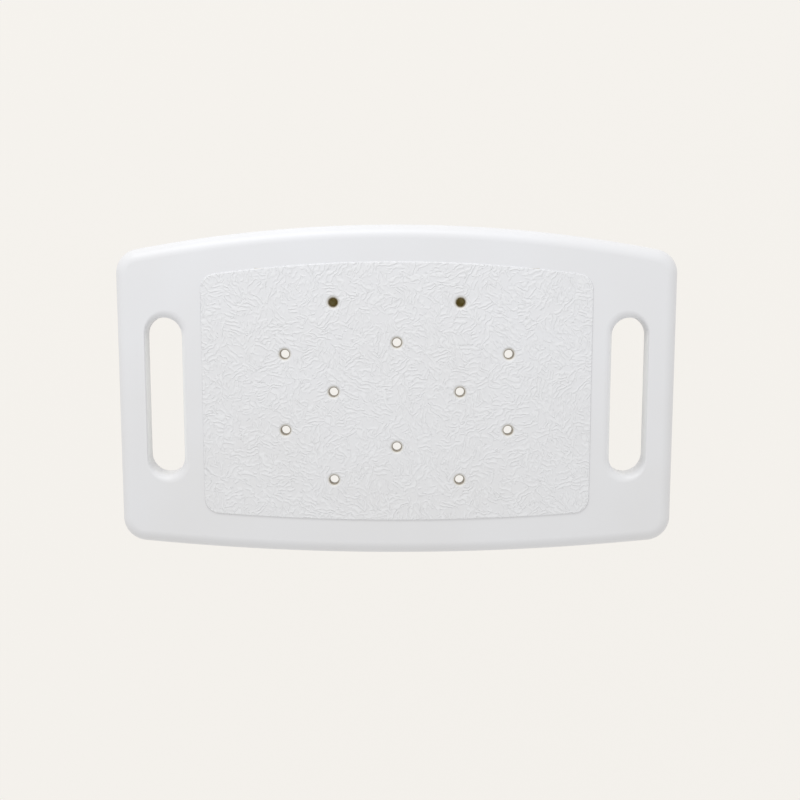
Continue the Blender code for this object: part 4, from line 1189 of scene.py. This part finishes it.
def seen_directly(tree):
    """1 for rays from the camera, from a reflection or through glass, and 0 for light itself."""
    path = tree.nodes.new("ShaderNodeLightPath")
    total = path.outputs["Is Camera Ray"]
    for name in ("Is Glossy Ray", "Is Transmission Ray"):
        either = tree.nodes.new("ShaderNodeMath")
        either.operation = "MAXIMUM"
        tree.links.new(total, either.inputs[0])
        tree.links.new(path.outputs[name], either.inputs[1])
        total = either.outputs[0]
    return total


def make_floor():
    """A plain pale floor that keeps a faint shadow of the bench."""
    bpy.ops.object.select_all(action="DESELECT")
    bpy.ops.mesh.primitive_circle_add(
        vertices=96, radius=FLOOR_RADIUS, fill_type="NGON", location=(0.0, 0.0, -FLOOR_DROP)
    )
    floor = bpy.context.active_object
    floor.name = "floor"
    bpy.ops.object.transform_apply(location=True, rotation=True, scale=True)
    material = bpy.data.materials.new("pale_floor")
    material.use_nodes = True
    tree = material.node_tree
    shader = tree.nodes["Principled BSDF"]
    shader.inputs["Base Color"].default_value = PALE
    shader.inputs["Roughness"].default_value = 0.9
    glow = tree.nodes.new("ShaderNodeEmission")
    glow.inputs["Color"].default_value = PALE
    share = tree.nodes.new("ShaderNodeMath")
    share.operation = "MULTIPLY"
    share.inputs[1].default_value = FLOOR_GLOW
    tree.links.new(seen_directly(tree), share.inputs[0])
    mix = tree.nodes.new("ShaderNodeMixShader")
    tree.links.new(share.outputs[0], mix.inputs[0])
    tree.links.new(shader.outputs[0], mix.inputs[1])
    tree.links.new(glow.outputs[0], mix.inputs[2])
    tree.links.new(mix.outputs[0], tree.nodes["Material Output"].inputs["Surface"])
    floor.data.materials.append(material)


def make_sky():
    world = bpy.data.worlds.new("studio")
    world.use_nodes = True
    bpy.context.scene.world = world
    tree = world.node_tree
    soft = tree.nodes["Background"]
    soft.inputs["Color"].default_value = SKY
    soft.inputs["Strength"].default_value = SKY_STRENGTH
    seen = tree.nodes.new("ShaderNodeBackground")
    seen.inputs["Color"].default_value = PALE
    mix = tree.nodes.new("ShaderNodeMixShader")
    tree.links.new(seen_directly(tree), mix.inputs[0])
    tree.links.new(soft.outputs[0], mix.inputs[1])
    tree.links.new(seen.outputs[0], mix.inputs[2])
    tree.links.new(mix.outputs[0], tree.nodes["World Output"].inputs["Surface"])


def make_lamp(name, place, target, size, power, colour):
    bpy.ops.object.light_add(type="AREA", location=place)
    lamp = bpy.context.active_object
    lamp.name = name
    lamp.data.shape = "RECTANGLE"
    lamp.data.size, lamp.data.size_y = size
    lamp.data.energy = power
    lamp.data.color = colour
    lamp.rotation_euler = (Vector(target) - Vector(place)).to_track_quat("-Z", "Y").to_euler()


def make_camera():
    bpy.ops.object.camera_add(
        location=(0.0, 0.1229, 1.3799),
        rotation=(math.radians(-7.48), math.radians(-0.16), math.radians(0.023)),
    )
    camera = bpy.context.active_object
    camera.name = "photo_camera"
    camera.data.lens = 50.0
    camera.data.sensor_width = 36.0
    bpy.context.scene.camera = camera


make_camera()
make_sky()
make_floor()
make_lamp("softbox", (-0.30, 1.29, 1.08), (0.0, 0.0, 0.38), (1.2, 0.6), 8.8, (0.98, 0.99, 1.0))
dress_bench()
bpy.context.scene.view_settings.view_transform = "Standard"
